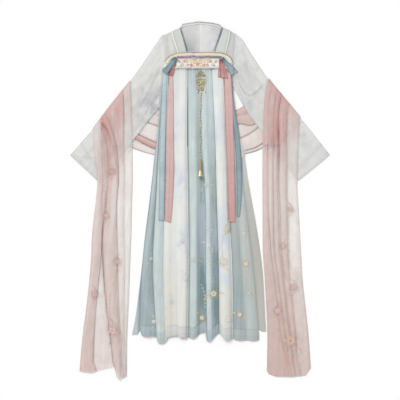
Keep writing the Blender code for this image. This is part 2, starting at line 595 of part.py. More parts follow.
def make_shirt(wardrobe):
    """Back panels first, then the fronts over them, then the collar's three pieces."""
    shoulder = np.array(SHOULDER, float)
    share = (shoulder[:, 0] - shoulder[0, 0]) / (shoulder[-1, 0] - shoulder[0, 0])
    t = np.linspace(0, 1, BODY_ROWS)[:, None]
    y = shoulder[:, 1] + t * (SHIRT_HEM - shoulder[:, 1])
    x = side_x(ARMHOLE_LEFT, y) * (1 - share) + side_x(ARMHOLE_RIGHT, y) * share
    back = np.stack([x, y], axis=-1) * MM
    front_left = ladder(FRONT_LEFT, BODY_ROWS, FRONT_COLUMNS)
    front_right = ladder(FRONT_RIGHT, BODY_ROWS, FRONT_COLUMNS)
    front_left[:, 0, 0] = side_x(ARMHOLE_LEFT, front_left[:, 0, 1] / MM) * MM
    front_right[:, -1, 0] = side_x(ARMHOLE_RIGHT, front_right[:, -1, 1] / MM) * MM
    left = ladder(SLEEVE_LEFT, SLEEVE_ROWS, SLEEVE_COLUMNS)
    right = ladder(SLEEVE_RIGHT, SLEEVE_ROWS, SLEEVE_COLUMNS)
    wardrobe.lay_sheets([
        flat_sheet("shirt_back", back, "sheer"),
        flat_sheet("sleeve_left_back", left, "sheer"),
        flat_sheet("sleeve_right_back", right, "sheer"),
    ])
    wardrobe.lay_sheets([
        flat_sheet("shirt_front_left", front_left, "sheer"),
        flat_sheet("shirt_front_right", front_right, "sheer"),
        Sheet("sleeve_left_front", left, sleeve_rise(left.shape), "sheer"),
        Sheet("sleeve_right_front", right, sleeve_rise(right.shape), "sheer"),
    ])
    neck = np.array(BACK_NECK, float)
    strip = np.stack([neck, neck - (0, NECK_STRIP)], axis=1) * MM
    wardrobe.lay_sheets([
        flat_sheet("collar_left", ladder(COLLAR_LEFT, COLLAR_ROWS, COLLAR_COLUMNS), "sheer"),
        flat_sheet("collar_right", ladder(COLLAR_RIGHT, COLLAR_ROWS, COLLAR_COLUMNS), "sheer"),
        flat_sheet("collar_back", strip, "teal"),
    ])


def shawl_end(name, spans, hem, folds, lobes, sleeve):
    """One end of the shawl, which comes round the sleeve's fold and hangs down beside the skirt."""
    plan, rise = folded_stretch(spans, hem, folds, lobes, SHAWL_RISE, SHAWL_ROWS)
    plan, rise = rolled_over(plan, rise, sleeve)
    return Sheet(name, plan, rise, "pink", WALL + CLEAR)


def make_shawl_ends(wardrobe):
    """Both ends of the shawl."""
    wardrobe.lay_sheets([
        shawl_end("shawl_left", SHAWL_LEFT, SHAWL_LEFT_HEM, SHAWL_LEFT_FOLDS, SHAWL_LEFT_LOBES,
                  SLEEVE_LEFT),
        shawl_end("shawl_right", SHAWL_RIGHT, SHAWL_RIGHT_HEM, SHAWL_RIGHT_FOLDS, SHAWL_RIGHT_LOBES,
                  SLEEVE_RIGHT),
    ])


def make_skirt_front(wardrobe):
    """The pleated panels and, sewn along their top, the chest band."""
    sheets = []
    for name, first, last, colour in SKIRT_PANELS:
        plan, rise = skirt_panel(first, last)
        sheets.append(Sheet(name, plan, rise, colour))
    arc = np.array(CHEST_ARC, float)
    share = (arc[:, 0] - arc[0, 0]) / (arc[-1, 0] - arc[0, 0])
    low_x = CHEST_LOW_LEFT + share * (CHEST_LOW_RIGHT - CHEST_LOW_LEFT)
    low = np.stack([low_x, np.full(len(arc), CHEST_LOW)], axis=-1)
    t = np.linspace(0, 1, CHEST_ROWS)[:, None, None]
    plan = (arc * (1 - t) + low * t) * MM
    sheets.append(Sheet("chest_band", plan, np.full(plan.shape[:2], PLEAT_TOP / 2 * MM), "white"))
    wardrobe.lay_sheets(sheets)


def make_chest_trim(wardrobe):
    """The bound top edge and the embroidered band on the chest band."""
    arc = np.array(CHEST_ARC, float)
    tangent = np.gradient(arc, axis=0)
    normal = np.stack([tangent[:, 1], -tangent[:, 0]], -1) / np.linalg.norm(tangent, axis=1)[:, None]
    across = np.linspace(0, BINDING_WIDTH, TRIM_ROWS)[:, None, None] - BINDING_PROUD
    binding = (arc + normal * across) * MM
    top = Span(BAND_LEFT, BAND_TOP, BAND_RIGHT, BAND_TOP)
    low = Span(BAND_LEFT, BAND_LOW, BAND_RIGHT, BAND_LOW)
    band = ladder([top, low], TRIM_ROWS, BAND_COLUMNS)
    wardrobe.lay_sheets([flat_sheet("top_binding", binding, "cream")])
    wardrobe.lay_sheets([flat_sheet("embroidered_band", band, "cream")])


def tube(wardrobe, name, points, diameter, colour):
    """Round tube along points that already lie at its centre."""
    curve = bpy.data.curves.new(name, "CURVE")
    curve.dimensions = "3D"
    curve.bevel_depth = diameter / 2
    curve.bevel_resolution = 2
    curve.use_fill_caps = True
    spline = curve.splines.new("POLY")
    spline.points.add(len(points) - 1)
    for vert, point in zip(spline.points, points):
        vert.co = (*point, 1.0)
    return wardrobe.add_solid(name, curve, colour)


def lying_points(wardrobe, points, radius, count):
    """Points of a smooth route at even shares, lifted to lie on the heap."""
    route = np.asarray(points, float) * MM
    where = np.linspace(0, len(route) - 1, count)
    plan = smooth(np.arange(len(route)), route, where)
    step = np.abs(np.diff(plan, axis=0)).max(axis=0)
    height = wardrobe.heap.cover(step[0] + radius, step[1] + radius)(plan[:, 0], plan[:, 1]) + radius
    return np.column_stack([plan, height])


def make_cord(wardrobe):
    """The cord along the chest band, and its lane on the heap, as what lies over it has to clear it."""
    route = [(CORD_LEFT, CORD_Y - CORD_BOW), (CORD_LEFT / 2, CORD_Y), (CORD_RIGHT / 2, CORD_Y),
             (CORD_RIGHT, CORD_Y - CORD_BOW)]
    radius = CORD_DIAMETER / 2 * MM
    points = lying_points(wardrobe, route, radius, CORD_POINTS)
    tube(wardrobe, "waist_cord", points, 2 * radius, "cord")
    upper = Span(CORD_LEFT, CORD_Y + CORD_LANE, CORD_RIGHT, CORD_Y + CORD_LANE)
    lower = Span(CORD_LEFT, CORD_Y - CORD_LANE, CORD_RIGHT, CORD_Y - CORD_LANE)
    lane = ladder([upper, lower], 2, 2)
    top = points[:, 2].max() + radius
    wardrobe.heap.lay(np.concatenate([lane, np.full((*lane.shape[:2], 1), top)], axis=-1))


def make_ribbons(wardrobe):
    """The long ribbons, the teal ones under the pink."""
    for colour in ("teal", "pink"):
        sheets = []
        for side in ("left", "right"):
            name = f"ribbon_{colour}_{side}"
            plan = ladder(RIBBONS[name], RIBBON_ROWS, 3)
            rise = np.tile([0, RIBBON_CROWN * MM, 0], (RIBBON_ROWS, 1))
            sheets.append(Sheet(name, plan, rise, colour))
        wardrobe.lay_sheets(sheets)


def make_ties(wardrobe):
    """The short ends folded out at both sides of the chest band, the teal ones on top."""
    for colour, key in (("rose", "pink"), ("teal", "teal")):
        sheets = []
        for side in ("left", "right"):
            name = f"tie_{key}_{side}"
            plan = ladder(TIES[name], TIE_ROWS, len(TIE_CROWN))
            rise = np.outer(np.linspace(0, 1, TIE_ROWS), TIE_CROWN) * MM
            sheets.append(Sheet(name, plan, rise, colour))
        wardrobe.lay_sheets(sheets)


def plate(wardrobe, name, outline, colour):
    """Flat metal plate from an outline in metres, lying on the heap."""
    outline = np.asarray(outline)
    centre = outline.mean(axis=0)
    half = np.abs(outline - centre).max(axis=0)
    thick = PENDANT_THICK * MM
    base = float(wardrobe.heap.cover(half[0], half[1])(centre[0], centre[1]))
    curve = bpy.data.curves.new(name, "CURVE")
    curve.dimensions = "2D"
    curve.fill_mode = "BOTH"
    curve.extrude = thick / 2
    spline = curve.splines.new("POLY")
    spline.points.add(len(outline) - 1)
    for vert, point in zip(spline.points, outline):
        vert.co = (*(point - centre), 0.0, 1.0)
    spline.use_cyclic_u = True
    piece = wardrobe.add_solid(name, curve, colour)
    piece.location = (centre[0], centre[1], base + thick / 2)
    return base + thick


def turned(wardrobe, name, profile, top, low, radius, colour):
    """Turned piece that lies along Y on the heap: a profile from its top to its low end, screwed round Y."""
    x = CHAIN[-1][0] * MM
    length, radius = (top - low) * MM, radius * MM
    along = np.array([0.0] + [share for share, _ in profile] + [1.0]) * length
    out = np.array([0.0] + [share for _, share in profile] + [0.0]) * radius
    mesh = bpy.data.meshes.new(name)
    points = [(r, -a, 0.0) for a, r in zip(along.tolist(), out.tolist())]
    mesh.from_pydata(points, [(k, k + 1) for k in range(len(points) - 1)], [])
    piece = wardrobe.add_solid(name, mesh, colour)
    screw = piece.modifiers.new("turned", "SCREW")
    screw.axis = "Y"
    screw.steps = TURNED_SIDES
    screw.render_steps = TURNED_SIDES
    screw.use_merge_vertices = True
    screw.merge_threshold = MERGE
    screw.use_smooth_shade = True
    height = float(wardrobe.heap.cover(radius, length)(x, top * MM - length / 2)) + radius
    piece.location = (x, top * MM, height)


def make_pearls(wardrobe):
    """The three pearls under the drop."""
    radius = PEARL_RADIUS * MM
    for k, (x, y) in enumerate(PEARLS):
        bm = bmesh.new()
        bmesh.ops.create_uvsphere(bm, u_segments=10, v_segments=6, radius=radius)
        mesh = bpy.data.meshes.new("pearl")
        bm.to_mesh(mesh)
        bm.free()
        mesh.shade_smooth()
        pearl = wardrobe.add_solid(f"pendant_pearl_{k + 1}", mesh, "pearl")
        height = float(wardrobe.heap.cover(radius, radius)(x * MM, y * MM)) + radius
        pearl.location = (x * MM, y * MM, height)


def make_pendant(wardrobe):
    """Half-round fan, tapering drop, pearls, chain, long bead and bell, from the chest band down."""
    angle = np.linspace(0, np.pi, FAN_POINTS)
    fan_x = PENDANT_X + FAN_HALF * np.cos(angle)
    fan_y = FAN_LOW + (FAN_TOP - FAN_LOW) * np.sin(angle)
    plate(wardrobe, "pendant_fan", np.column_stack([fan_x, fan_y]) * MM, "gold")
    down = np.linspace(0, 1, DROP_POINTS)
    half = DROP_HALF * (1 - down) ** DROP_BELLY + DROP_TIP
    drop_y = DROP_TOP - down * (DROP_TOP - DROP_LOW)
    right = np.column_stack([PENDANT_X + half, drop_y])
    left = np.column_stack([PENDANT_X - half, drop_y])[::-1]
    plate(wardrobe, "pendant_drop", np.concatenate([left, right]) * MM, "gold")
    make_pearls(wardrobe)
    radius = CHAIN_DIAMETER / 2 * MM
    route = lying_points(wardrobe, CHAIN, radius, CHAIN_POINTS)
    tube(wardrobe, "pendant_chain", route, 2 * radius, "gold")
    turned(wardrobe, "pendant_bead", BEAD_PROFILE, BEAD_TOP, BEAD_LOW, BEAD_RADIUS, "gold")
    turned(wardrobe, "pendant_bell", BELL_PROFILE, BELL_TOP, BELL_LOW, BELL_RADIUS, "gold")


def main():
    """Clears the scene and lays the pieces in the order in which they lie on each other."""
    for old in list(bpy.data.objects):
        bpy.data.objects.remove(old, do_unlink=True)
    collection = bpy.data.collections.new("hanfu_robe")
    bpy.context.scene.collection.children.link(collection)
    parent = bpy.data.objects.new("hanfu_robe_origin", None)
    collection.objects.link(parent)
    wardrobe = Wardrobe(collection, parent)
    make_shawl_back(wardrobe)
    make_skirt_back(wardrobe)
    make_shirt(wardrobe)
    make_shawl_ends(wardrobe)
    make_skirt_front(wardrobe)
    make_ribbons(wardrobe)
    make_chest_trim(wardrobe)
    make_cord(wardrobe)
    make_ties(wardrobe)
    make_pendant(wardrobe)


main()
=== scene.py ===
"""The looks of a hanfu robe set laid out flat: sheer shirt, chest-high skirt, ties, pendant and shawl.

Every cloth piece is a surface on a grid. Its plan comes from a short table in millimetres, its height from
the heap of the pieces laid before it, and its colour from values that change over it: tint from pale to
deep, shade painted into its folds, stain_and_painted_light where the dye has pooled, with a painted
highlight and painted shade in a few places, cover where it hides what is under it, and edge, the distance
to its nearest hem.
"""

import logging
import math
from dataclasses import dataclass, field
from enum import Enum

import bpy
import numpy as np
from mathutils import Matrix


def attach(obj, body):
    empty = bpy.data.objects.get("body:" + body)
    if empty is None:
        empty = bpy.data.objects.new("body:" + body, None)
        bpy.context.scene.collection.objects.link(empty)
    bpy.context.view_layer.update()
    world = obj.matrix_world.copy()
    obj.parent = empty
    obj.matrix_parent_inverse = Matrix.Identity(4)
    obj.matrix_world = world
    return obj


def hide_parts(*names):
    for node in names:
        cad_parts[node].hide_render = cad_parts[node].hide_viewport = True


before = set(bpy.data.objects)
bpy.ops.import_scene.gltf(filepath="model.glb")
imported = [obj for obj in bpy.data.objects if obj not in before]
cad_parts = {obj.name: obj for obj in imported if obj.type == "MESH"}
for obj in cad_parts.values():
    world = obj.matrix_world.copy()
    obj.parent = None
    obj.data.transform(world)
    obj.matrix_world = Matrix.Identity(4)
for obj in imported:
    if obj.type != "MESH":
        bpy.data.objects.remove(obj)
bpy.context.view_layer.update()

Array = np.ndarray
Rows = tuple[tuple[float, ...], ...]
Colour = tuple[float, float, float]

MM = 0.001
CELL = 2.0 * MM  # grid of the heap's height field
HEAP_X, HEAP_Y = 0.60, 0.80  # half sizes of that field
CLEAR = 0.35 * MM  # between a piece and what it lies on
REACH = 5.0 * MM  # how far round a point the heap is looked at
SOFTEN = 4.0 * MM  # how far a step under the cloth is spread
STEP = 4.0  # mm between the columns of a cloth
WALL = 0.4 * MM  # thickness of a cloth
LAYER = 0.8  # mm from one layer to the next in a tuck
CREASE = 1.0  # radians past which an edge is sharp
FOLD_POINTS = 1201  # at which a sleeve's fold is read
THREAD_LIFT = 0.25 * MM  # of a couched thread's middle over the cloth
SATIN_LIFT = 0.3 * MM  # of a satin stitch's
TURN = 2 * np.pi
UP = np.array([0.0, 0.0, 1.0])

log = logging.getLogger("hanfu_robe")


# ---------------------------------------------------------------- curves

def smooth(knots: Array, values: Array, where: Array) -> Array:
    """Cubic through the values at the knots, with each slope from the neighbours.

    Args:
        knots: Places of the values, all rising or all falling.
        values: One value or one row of values for each knot.
        where: Places at which to read it.

    Returns:
        The values there, in the shape of where followed by a value's own.
    """
    knots, values = np.asarray(knots, float), np.asarray(values, float)
    if knots[0] > knots[-1]:
        knots, values = knots[::-1], values[::-1]
    slopes = np.gradient(values, knots, axis=0)
    where = np.clip(np.asarray(where, float), knots[0], knots[-1])
    k = np.clip(np.searchsorted(knots, where, side="right") - 1, 0, len(knots) - 2)
    step = knots[k + 1] - knots[k]
    u = (where - knots[k]) / step
    if values.ndim > 1:
        step, u = step[..., None], u[..., None]
    return ((2 * u**3 - 3 * u**2 + 1) * values[k] + (u**3 - 2 * u**2 + u) * step * slopes[k]
            + (3 * u**2 - 2 * u**3) * values[k + 1] + (u**3 - u**2) * step * slopes[k + 1])


def steps(value: Array, low: float, high: float) -> Array:
    """Smooth step: 0 up to low, 1 from high on, and 3u² - 2u³ between them."""
    u = np.clip((np.asarray(value, float) - low) / (high - low), 0, 1)
    return u * u * (3 - 2 * u)


def hump(value: Array, at: Array | float, width: Array | float) -> Array:
    """Bell curve about a place: exp(-((value - at) / width)²)."""
    return np.exp(-((value - at) / width) ** 2)


def circle(angle: Array | float, radius: Array | float = 1.0) -> Array:
    """Points of a circle in the plane: radius (cos angle, sin angle)."""
    return np.stack([radius * np.cos(angle), radius * np.sin(angle)], -1)


def unit(vectors: Array) -> Array:
    """Vectors brought to length 1, with those of no length left as they are."""
    return vectors / np.maximum(np.linalg.norm(vectors, axis=-1, keepdims=True), 1e-12)


def polyline(points: Rows, share: Array) -> Array:
    """Points of a polyline at shares of its length, by straight runs between its corners."""
    corners = np.asarray(points, float)
    length = np.r_[0, np.cumsum(np.hypot(*np.diff(corners, axis=0).T))]
    return np.stack([np.interp(share, length / length[-1], corners[:, i]) for i in (0, 1)], axis=-1)


def arc_length(points: Array, axis: int) -> Array:
    """Distance along a grid of points from its first row or column: the running sum of its steps."""
    step = np.linalg.norm(np.diff(points, axis=axis), axis=-1)
    return np.pad(np.cumsum(step, axis=axis), [(1, 0) if a == axis else (0, 0) for a in (0, 1)])


def to_rim(away: Array) -> Array:
    """Distance to the nearer end of each row, from the distance to its first point."""
    return np.minimum(away, away[:, -1:] - away)


def ripples(across: Array, along: Array, waves: Rows) -> Array:
    """Soft ripples: the sum of h sin(2π(across / length + drift along + phase)) over the waves.

    Args:
        across: Place across the cloth in millimetres.
        along: Share of the cloth's length.
        waves: Height, length, drift and phase of each wave.

    Returns:
        The height in millimetres.
    """
    total = np.zeros(np.broadcast(across, along).shape)
    for height, length, drift, phase in waves:
        total += height * np.sin(TURN * (across / length + drift * along + phase))
    return total


def creases(across: Array, along: Array, table: Rows) -> Array:
    """Creases placed one by one: each is h exp(-(a/w)² - (b/l)²), a slanted ridge or, where h < 0, a trough.

    Args:
        across: Share of the width.
        along: Share of the length.
        table: Place across and along, half width, half length, slant and height of each crease.

    Returns:
        The height in millimetres.
    """
    total = np.zeros(np.broadcast(across, along).shape)
    for at, down, width, length, slant, height in table:
        off = across - at - slant * (along - down)
        total += height * np.exp(-(off / width) ** 2 - ((along - down) / length) ** 2)
    return total


def near_line(x: Array, y: Array, points: Rows) -> Array:
    """Distance of places to a polyline: the least, over its runs, to the nearest point of the run.

    Args:
        x: Places, in the units of the points.
        y: Places.
        points: Corners of the polyline.

    Returns:
        The distance of each place.
    """
    least = np.full(np.broadcast(x, y).shape, np.inf)
    for (ax, ay), (bx, by) in zip(points[:-1], points[1:]):
        run = (bx - ax) ** 2 + (by - ay) ** 2
        u = np.clip(((x - ax) * (bx - ax) + (y - ay) * (by - ay)) / run, 0, 1)
        least = np.minimum(least, np.hypot(x - ax - u * (bx - ax), y - ay - u * (by - ay)))
    return least


def ladder(spans: Rows, rows: int, columns: int) -> Array:
    """Plan of a strip: smooth left and right edges through a table of spans, and straight lines between them.

    Args:
        spans: Left x, left y, right x and right y at each station, in millimetres.
        rows: Rows along the strip.
        columns: Columns across it.

    Returns:
        The plan in metres, rows by columns by 2.
    """
    edges = smooth(np.arange(len(spans)), np.asarray(spans, float), np.linspace(0, len(spans) - 1, rows))
    s = np.linspace(0, 1, columns)[None, :, None]
    return ((1 - s) * edges[:, None, :2] + s * edges[:, None, 2:]) * MM


# ---------------------------------------------------------------- the heap

class Heap:
    """Heights of everything laid so far, as a field of cells over the floor."""

    def __init__(self) -> None:
        """The bare floor."""
        self.shape = (int(2 * HEAP_Y / CELL) + 1, int(2 * HEAP_X / CELL) + 1)
        self.top = np.zeros(self.shape)

    @staticmethod
    def widest(field: Array, cells: int, axis: int) -> Array:
        """Largest value within so many cells to both sides along an axis, by windows that double."""
        grown = np.moveaxis(np.pad(field, [(cells, cells) if a == axis else (0, 0) for a in (0, 1)]), axis, 0)
        count, width = field.shape[axis], 1
        while 2 * width <= 2 * cells + 1:
            grown = np.maximum(grown[:-width], grown[width:])
            width *= 2
        rest = 2 * cells + 1 - width
        return np.moveaxis(np.maximum(grown[:count], grown[rest:rest + count]), 0, axis)

    @staticmethod
    def mean(field: Array, cells: int, axis: int) -> Array:
        """Mean over so many cells to both sides along an axis, by a running sum."""
        grown = np.pad(field, [(cells + 1, cells) if a == axis else (0, 0) for a in (0, 1)], mode="edge")
        total = np.moveaxis(np.cumsum(grown, axis=axis), axis, 0)
        width = 2 * cells + 1
        return np.moveaxis((total[width:] - total[:-width]) / width, 0, axis)

    def lay(self, points: Array) -> None:
        """Adds a grid of points to the heap, read bilinearly at less than a cell's spacing."""
        a, b, c, d = points[:-1, :-1], points[1:, :-1], points[:-1, 1:], points[1:, 1:]
        fine_u = int(np.ceil(np.abs(b - a)[..., :2].max() / (0.7 * CELL))) + 1
        fine_v = int(np.ceil(np.abs(c - a)[..., :2].max() / (0.7 * CELL))) + 1
        flat = self.top.reshape(-1)
        for u in np.linspace(0, 1, fine_u):
            for v in np.linspace(0, 1, fine_v):
                at = (1 - u) * (1 - v) * a + u * (1 - v) * b + (1 - u) * v * c + u * v * d
                row = np.rint((at[..., 1] + HEAP_Y) / CELL).astype(int)
                column = np.rint((at[..., 0] + HEAP_X) / CELL).astype(int)
                np.maximum.at(flat, (row * self.shape[1] + column).ravel(), at[..., 2].ravel())

    def over(self, x: Array, y: Array, reach: float = REACH, soften: float = SOFTEN) -> Array:
        """Height at which a cloth lies clear of the heap: its highest point within reach, softened by a mean.

        Args:
            x: Places in metres.
            y: Places in metres.
            reach: How far round each place the heap is looked at.
            soften: How far its steps are spread.

        Returns:
            The height at each place.
        """
        soft = int(round(soften / CELL))
        cells = int(np.ceil(reach / CELL)) + soft
        field = self.widest(self.widest(self.top, cells, 1), cells, 0) if cells else self.top
        if soft:
            for axis in (1, 0, 1, 0):
                field = self.mean(field, (soft + 1) // 2, axis)
        row, column = (np.asarray(y) + HEAP_Y) / CELL, (np.asarray(x) + HEAP_X) / CELL
        r, c = np.floor(row).astype(int), np.floor(column).astype(int)
        fr, fc = row - r, column - c
        value = ((1 - fr) * (1 - fc) * field[r, c] + (1 - fr) * fc * field[r, c + 1]
                 + fr * (1 - fc) * field[r + 1, c] + fr * fc * field[r + 1, c + 1])
        return value + CLEAR * np.clip(value / MM, 0, 1)

    def under(self, x: float, y: float, reach: float, soften: float) -> float:
        """Height that a thing at one place stands on."""
        return float(self.over(np.array([x]), np.array([y]), reach, soften)[0])

    def skin(self, x: Array, y: Array) -> Array:
        """Height of the topmost surface itself at each place, as the mean over the nearest cells."""
        field = self.mean(self.mean(self.widest(self.widest(self.top, 1, 1), 1, 0), 1, 1), 1, 0)
        row = np.rint((np.asarray(y) + HEAP_Y) / CELL).astype(int)
        column = np.rint((np.asarray(x) + HEAP_X) / CELL).astype(int)
        return field[row, column]


# ---------------------------------------------------------------- forms

@dataclass
class Form:
    """A closed surface: points (n, 3), quads (q, 4) and triangles (t, 3)."""

    points: Array
    quads: Array = field(default_factory=lambda: np.zeros((0, 4), int))
    triangles: Array = field(default_factory=lambda: np.zeros((0, 3), int))

    def repeated(self, at: Array, axes: Array) -> "Form":
        """Copies of the form: the points of copy k are at[k] + points · axes[k].

        Args:
            at: Place of each copy, (n, 3).
            axes: The three axes of each copy with their lengths, (n, 3, 3).

        Returns:
            All the copies as one form.
        """
        points = at[:, None, :] + self.points[None] @ axes
        shift = (np.arange(len(at)) * len(self.points))[:, None, None]
        return Form(points.reshape(-1, 3), (self.quads[None] + shift).reshape(-1, 4),
                    (self.triangles[None] + shift).reshape(-1, 3))

    @staticmethod
    def joined(forms: list["Form"]) -> "Form":
        """All the forms as one, each one's faces counted on from the last one's points."""
        starts = np.cumsum([0] + [len(form.points) for form in forms[:-1]])
        return Form(np.concatenate([form.points for form in forms]),
                    np.concatenate([form.quads + s for form, s in zip(forms, starts)]),
                    np.concatenate([form.triangles + s for form, s in zip(forms, starts)]))


def grid_faces(index: Array) -> Array:
    """The quads between the rows and columns of a grid of point numbers."""
    return np.stack([index[:-1, :-1], index[1:, :-1], index[1:, 1:], index[:-1, 1:]], -1).reshape(-1, 4)


def shell(points: Array, wrapped: bool = False) -> Form:
    """Closed thin wall: the grid moved half the wall to both sides along its normals, and its rim closed.

    An open sheet's outer side looks up; a wrapped one's looks away from the middle of each row.

    Args:
        points: Grid of points, rows by columns by 3.
        wrapped: Whether the last column joins the first.

    Returns:
        The form: the outer points first, then the inner ones.
    """
    along = np.gradient(points, axis=0)
    across = np.roll(points, -1, 1) - np.roll(points, 1, 1) if wrapped else np.gradient(points, axis=1)
    normal = unit(np.cross(along, across))
    lift = points[..., 2] - points[..., 2].mean(axis=1, keepdims=True) if wrapped else 1.0
    sign = 1.0 if (normal[..., 2] * lift).sum() >= 0 else -1.0
    rows, columns = points.shape[:2]
    index = np.arange(rows * columns).reshape(rows, columns)
    if wrapped:
        index = np.concatenate([index, index[:, :1]], axis=1)
    faces = grid_faces(index)
    if wrapped:
        borders = [index[-1], index[0, ::-1]]
    else:
        borders = [np.concatenate([index[:, 0], index[-1, 1:], index[-2::-1, -1], index[0, -2::-1]])]
    if sign < 0:
        faces = faces[:, ::-1]
        borders = [border[::-1] for border in borders]
    count = rows * columns
    rims = [np.stack([b[1:], b[:-1], b[:-1] + count, b[1:] + count], -1) for b in borders]
    off = sign * normal * WALL / 2
    return Form(np.concatenate([(points + off).reshape(-1, 3), (points - off).reshape(-1, 3)]),
                np.concatenate([faces, faces[:, ::-1] + count, *rims]))


def tube(path: Array, radii: Array | float, sides: int = 8, flat: float = 1.0) -> Form:
    """Closed tube: the circle path + r(cos φ side + flat sin φ up) along a path, with both ends capped.

    Args:
        path: Points of the centreline, (n, 3).
        radii: One radius, or one for each point.
        sides: Points round the circle.
        flat: Height of the section as a share of its width.

    Returns:
        The form; the last two points are the middles of its caps.
    """
    radii = np.broadcast_to(np.asarray(radii, float), len(path))
    tangent = unit(np.gradient(path, axis=0))
    side = unit(np.cross(tangent, UP))
    lift = np.cross(side, tangent)
    angle = np.linspace(0, TURN, sides, endpoint=False)
    ring = np.cos(angle)[None, :, None] * side[:, None] + flat * np.sin(angle)[None, :, None] * lift[:, None]
    points = path[:, None] + radii[:, None, None] * ring
    index = np.arange(len(path) * sides).reshape(len(path), sides)
    index = np.concatenate([index, index[:, :1]], axis=1)
    quads = grid_faces(index)
    first, last = len(path) * sides, len(path) * sides + 1
    start = np.stack([np.full(sides, first), index[0, :-1], index[0, 1:]], -1)
    end = np.stack([np.full(sides, last), index[-1, 1:], index[-1, :-1]], -1)
    points = np.concatenate([points.reshape(-1, 3), path[:1], path[-1:]])
    return Form(points, quads, np.concatenate([start, end]))


def ball(sides: int = 10, rings: int = 6) -> Form:
    """Unit sphere: (sin θ cos φ, sin θ sin φ, cos θ), with a single point at both poles."""
    theta = np.linspace(0, np.pi, rings + 1)[1:-1]
    path = np.stack([np.cos(theta), 0 * theta, 0 * theta], -1)
    form = tube(path, np.sin(theta), sides)
    form.points[-2:, 0] = [1.0, -1.0]
    form.triangles = form.triangles[:, ::-1]
    form.quads = form.quads[:, ::-1]
    angle = np.linspace(0, TURN, sides, endpoint=False)
    ring = np.stack([0 * angle, np.cos(angle), np.sin(angle)], -1)
    form.points[:-2] = (path[:, None] + np.sin(theta)[:, None, None] * ring).reshape(-1, 3)
    return form


def strokes(start: Array, end: Array, width: Array | float, height: Array | float) -> Form:
    """Satin stitches: low half-round bars from start to end, pointed at both ends.

    Args:
        start: First point of each stitch on the cloth, (n, 3).
        end: Last point of each.
        width: Their width in metres.
        height: How far their ridges stand up.

    Returns:
        All the stitches as one form.
    """
    along = np.array([-0.5, -0.3, 0.3, 0.5])
    path = np.stack([along, 0 * along, 0 * along], -1)
    bar = tube(path, np.array([0.2, 0.5, 0.5, 0.2]), 6)
    run = end - start
    side = unit(np.cross(UP, run))
    lift = unit(np.cross(run, side))
    wide = np.broadcast_to(np.asarray(width, float), len(run))[:, None]
    tall = np.broadcast_to(np.asarray(height, float), len(run))[:, None] * 2
    axes = np.stack([run, side * wide, lift * tall], axis=1)
    return bar.repeated((start + end) / 2, axes)


def make_piece(name: str, form: Form, values: dict[str, Array] | None = None, uv: Array | None = None,
               colours: Array | None = None) -> bpy.types.Object:
    """Puts a form into a mesh object at the origin, with its values on the points.

    Args:
        name: The object's name.
        form: The closed surface.
        values: Named numbers, one for each point.
        uv: Place on the cloth in metres, one for each point.
        colours: A colour for each point, kept as the attribute "thread".

    Returns:
        The object, linked to the scene.
    """
    mesh = bpy.data.meshes.new(name)
    mesh.vertices.add(len(form.points))
    mesh.vertices.foreach_set("co", form.points.astype(np.float32).ravel())
    corners = np.concatenate([form.quads.ravel(), form.triangles.ravel()]).astype(np.int32)
    totals = np.concatenate([np.full(len(form.quads), 4), np.full(len(form.triangles), 3)]).astype(np.int32)
    mesh.loops.add(len(corners))
    mesh.loops.foreach_set("vertex_index", corners)
    mesh.polygons.add(len(totals))
    mesh.polygons.foreach_set("loop_start", (np.cumsum(totals) - totals).astype(np.int32))
    mesh.polygons.foreach_set("loop_total", totals)
    mesh.update(calc_edges=True)
    for key, value in (values or {}).items():
        layer = mesh.attributes.new(key, "FLOAT", "POINT")
        layer.data.foreach_set("value", np.asarray(value, np.float32).ravel())
    if colours is not None:
        layer = mesh.attributes.new("thread", "FLOAT_COLOR", "POINT")
        rgba = np.column_stack([colours, np.ones(len(colours))])
        layer.data.foreach_set("color", rgba.astype(np.float32).ravel())
    if uv is not None:
        layer = mesh.uv_layers.new(name="UVMap")
        layer.data.foreach_set("uv", uv[corners].astype(np.float32).ravel())
    mesh.shade_smooth()
    mesh.set_sharp_from_angle(angle=CREASE)
    piece = bpy.data.objects.new(name, mesh)
    bpy.context.scene.collection.objects.link(piece)
    return piece


# ---------------------------------------------------------------- finishes

def linear(red: int, green: int, blue: int) -> Colour:
    """A colour of display values 0 to 255 as linear light: ((c + 0.055) / 1.055) ^ 2.4 above 0.04."""
    shares = np.array([red, green, blue]) / 255
    light = np.where(shares > 0.04045, ((shares + 0.055) / 1.055) ** 2.4, shares / 12.92)
    return tuple(float(value) for value in light)


class Socket(Enum):
    """Kinds of socket on a node group."""

    NUMBER = "NodeSocketFloat"
    COLOUR = "NodeSocketColor"
    VECTOR = "NodeSocketVector"


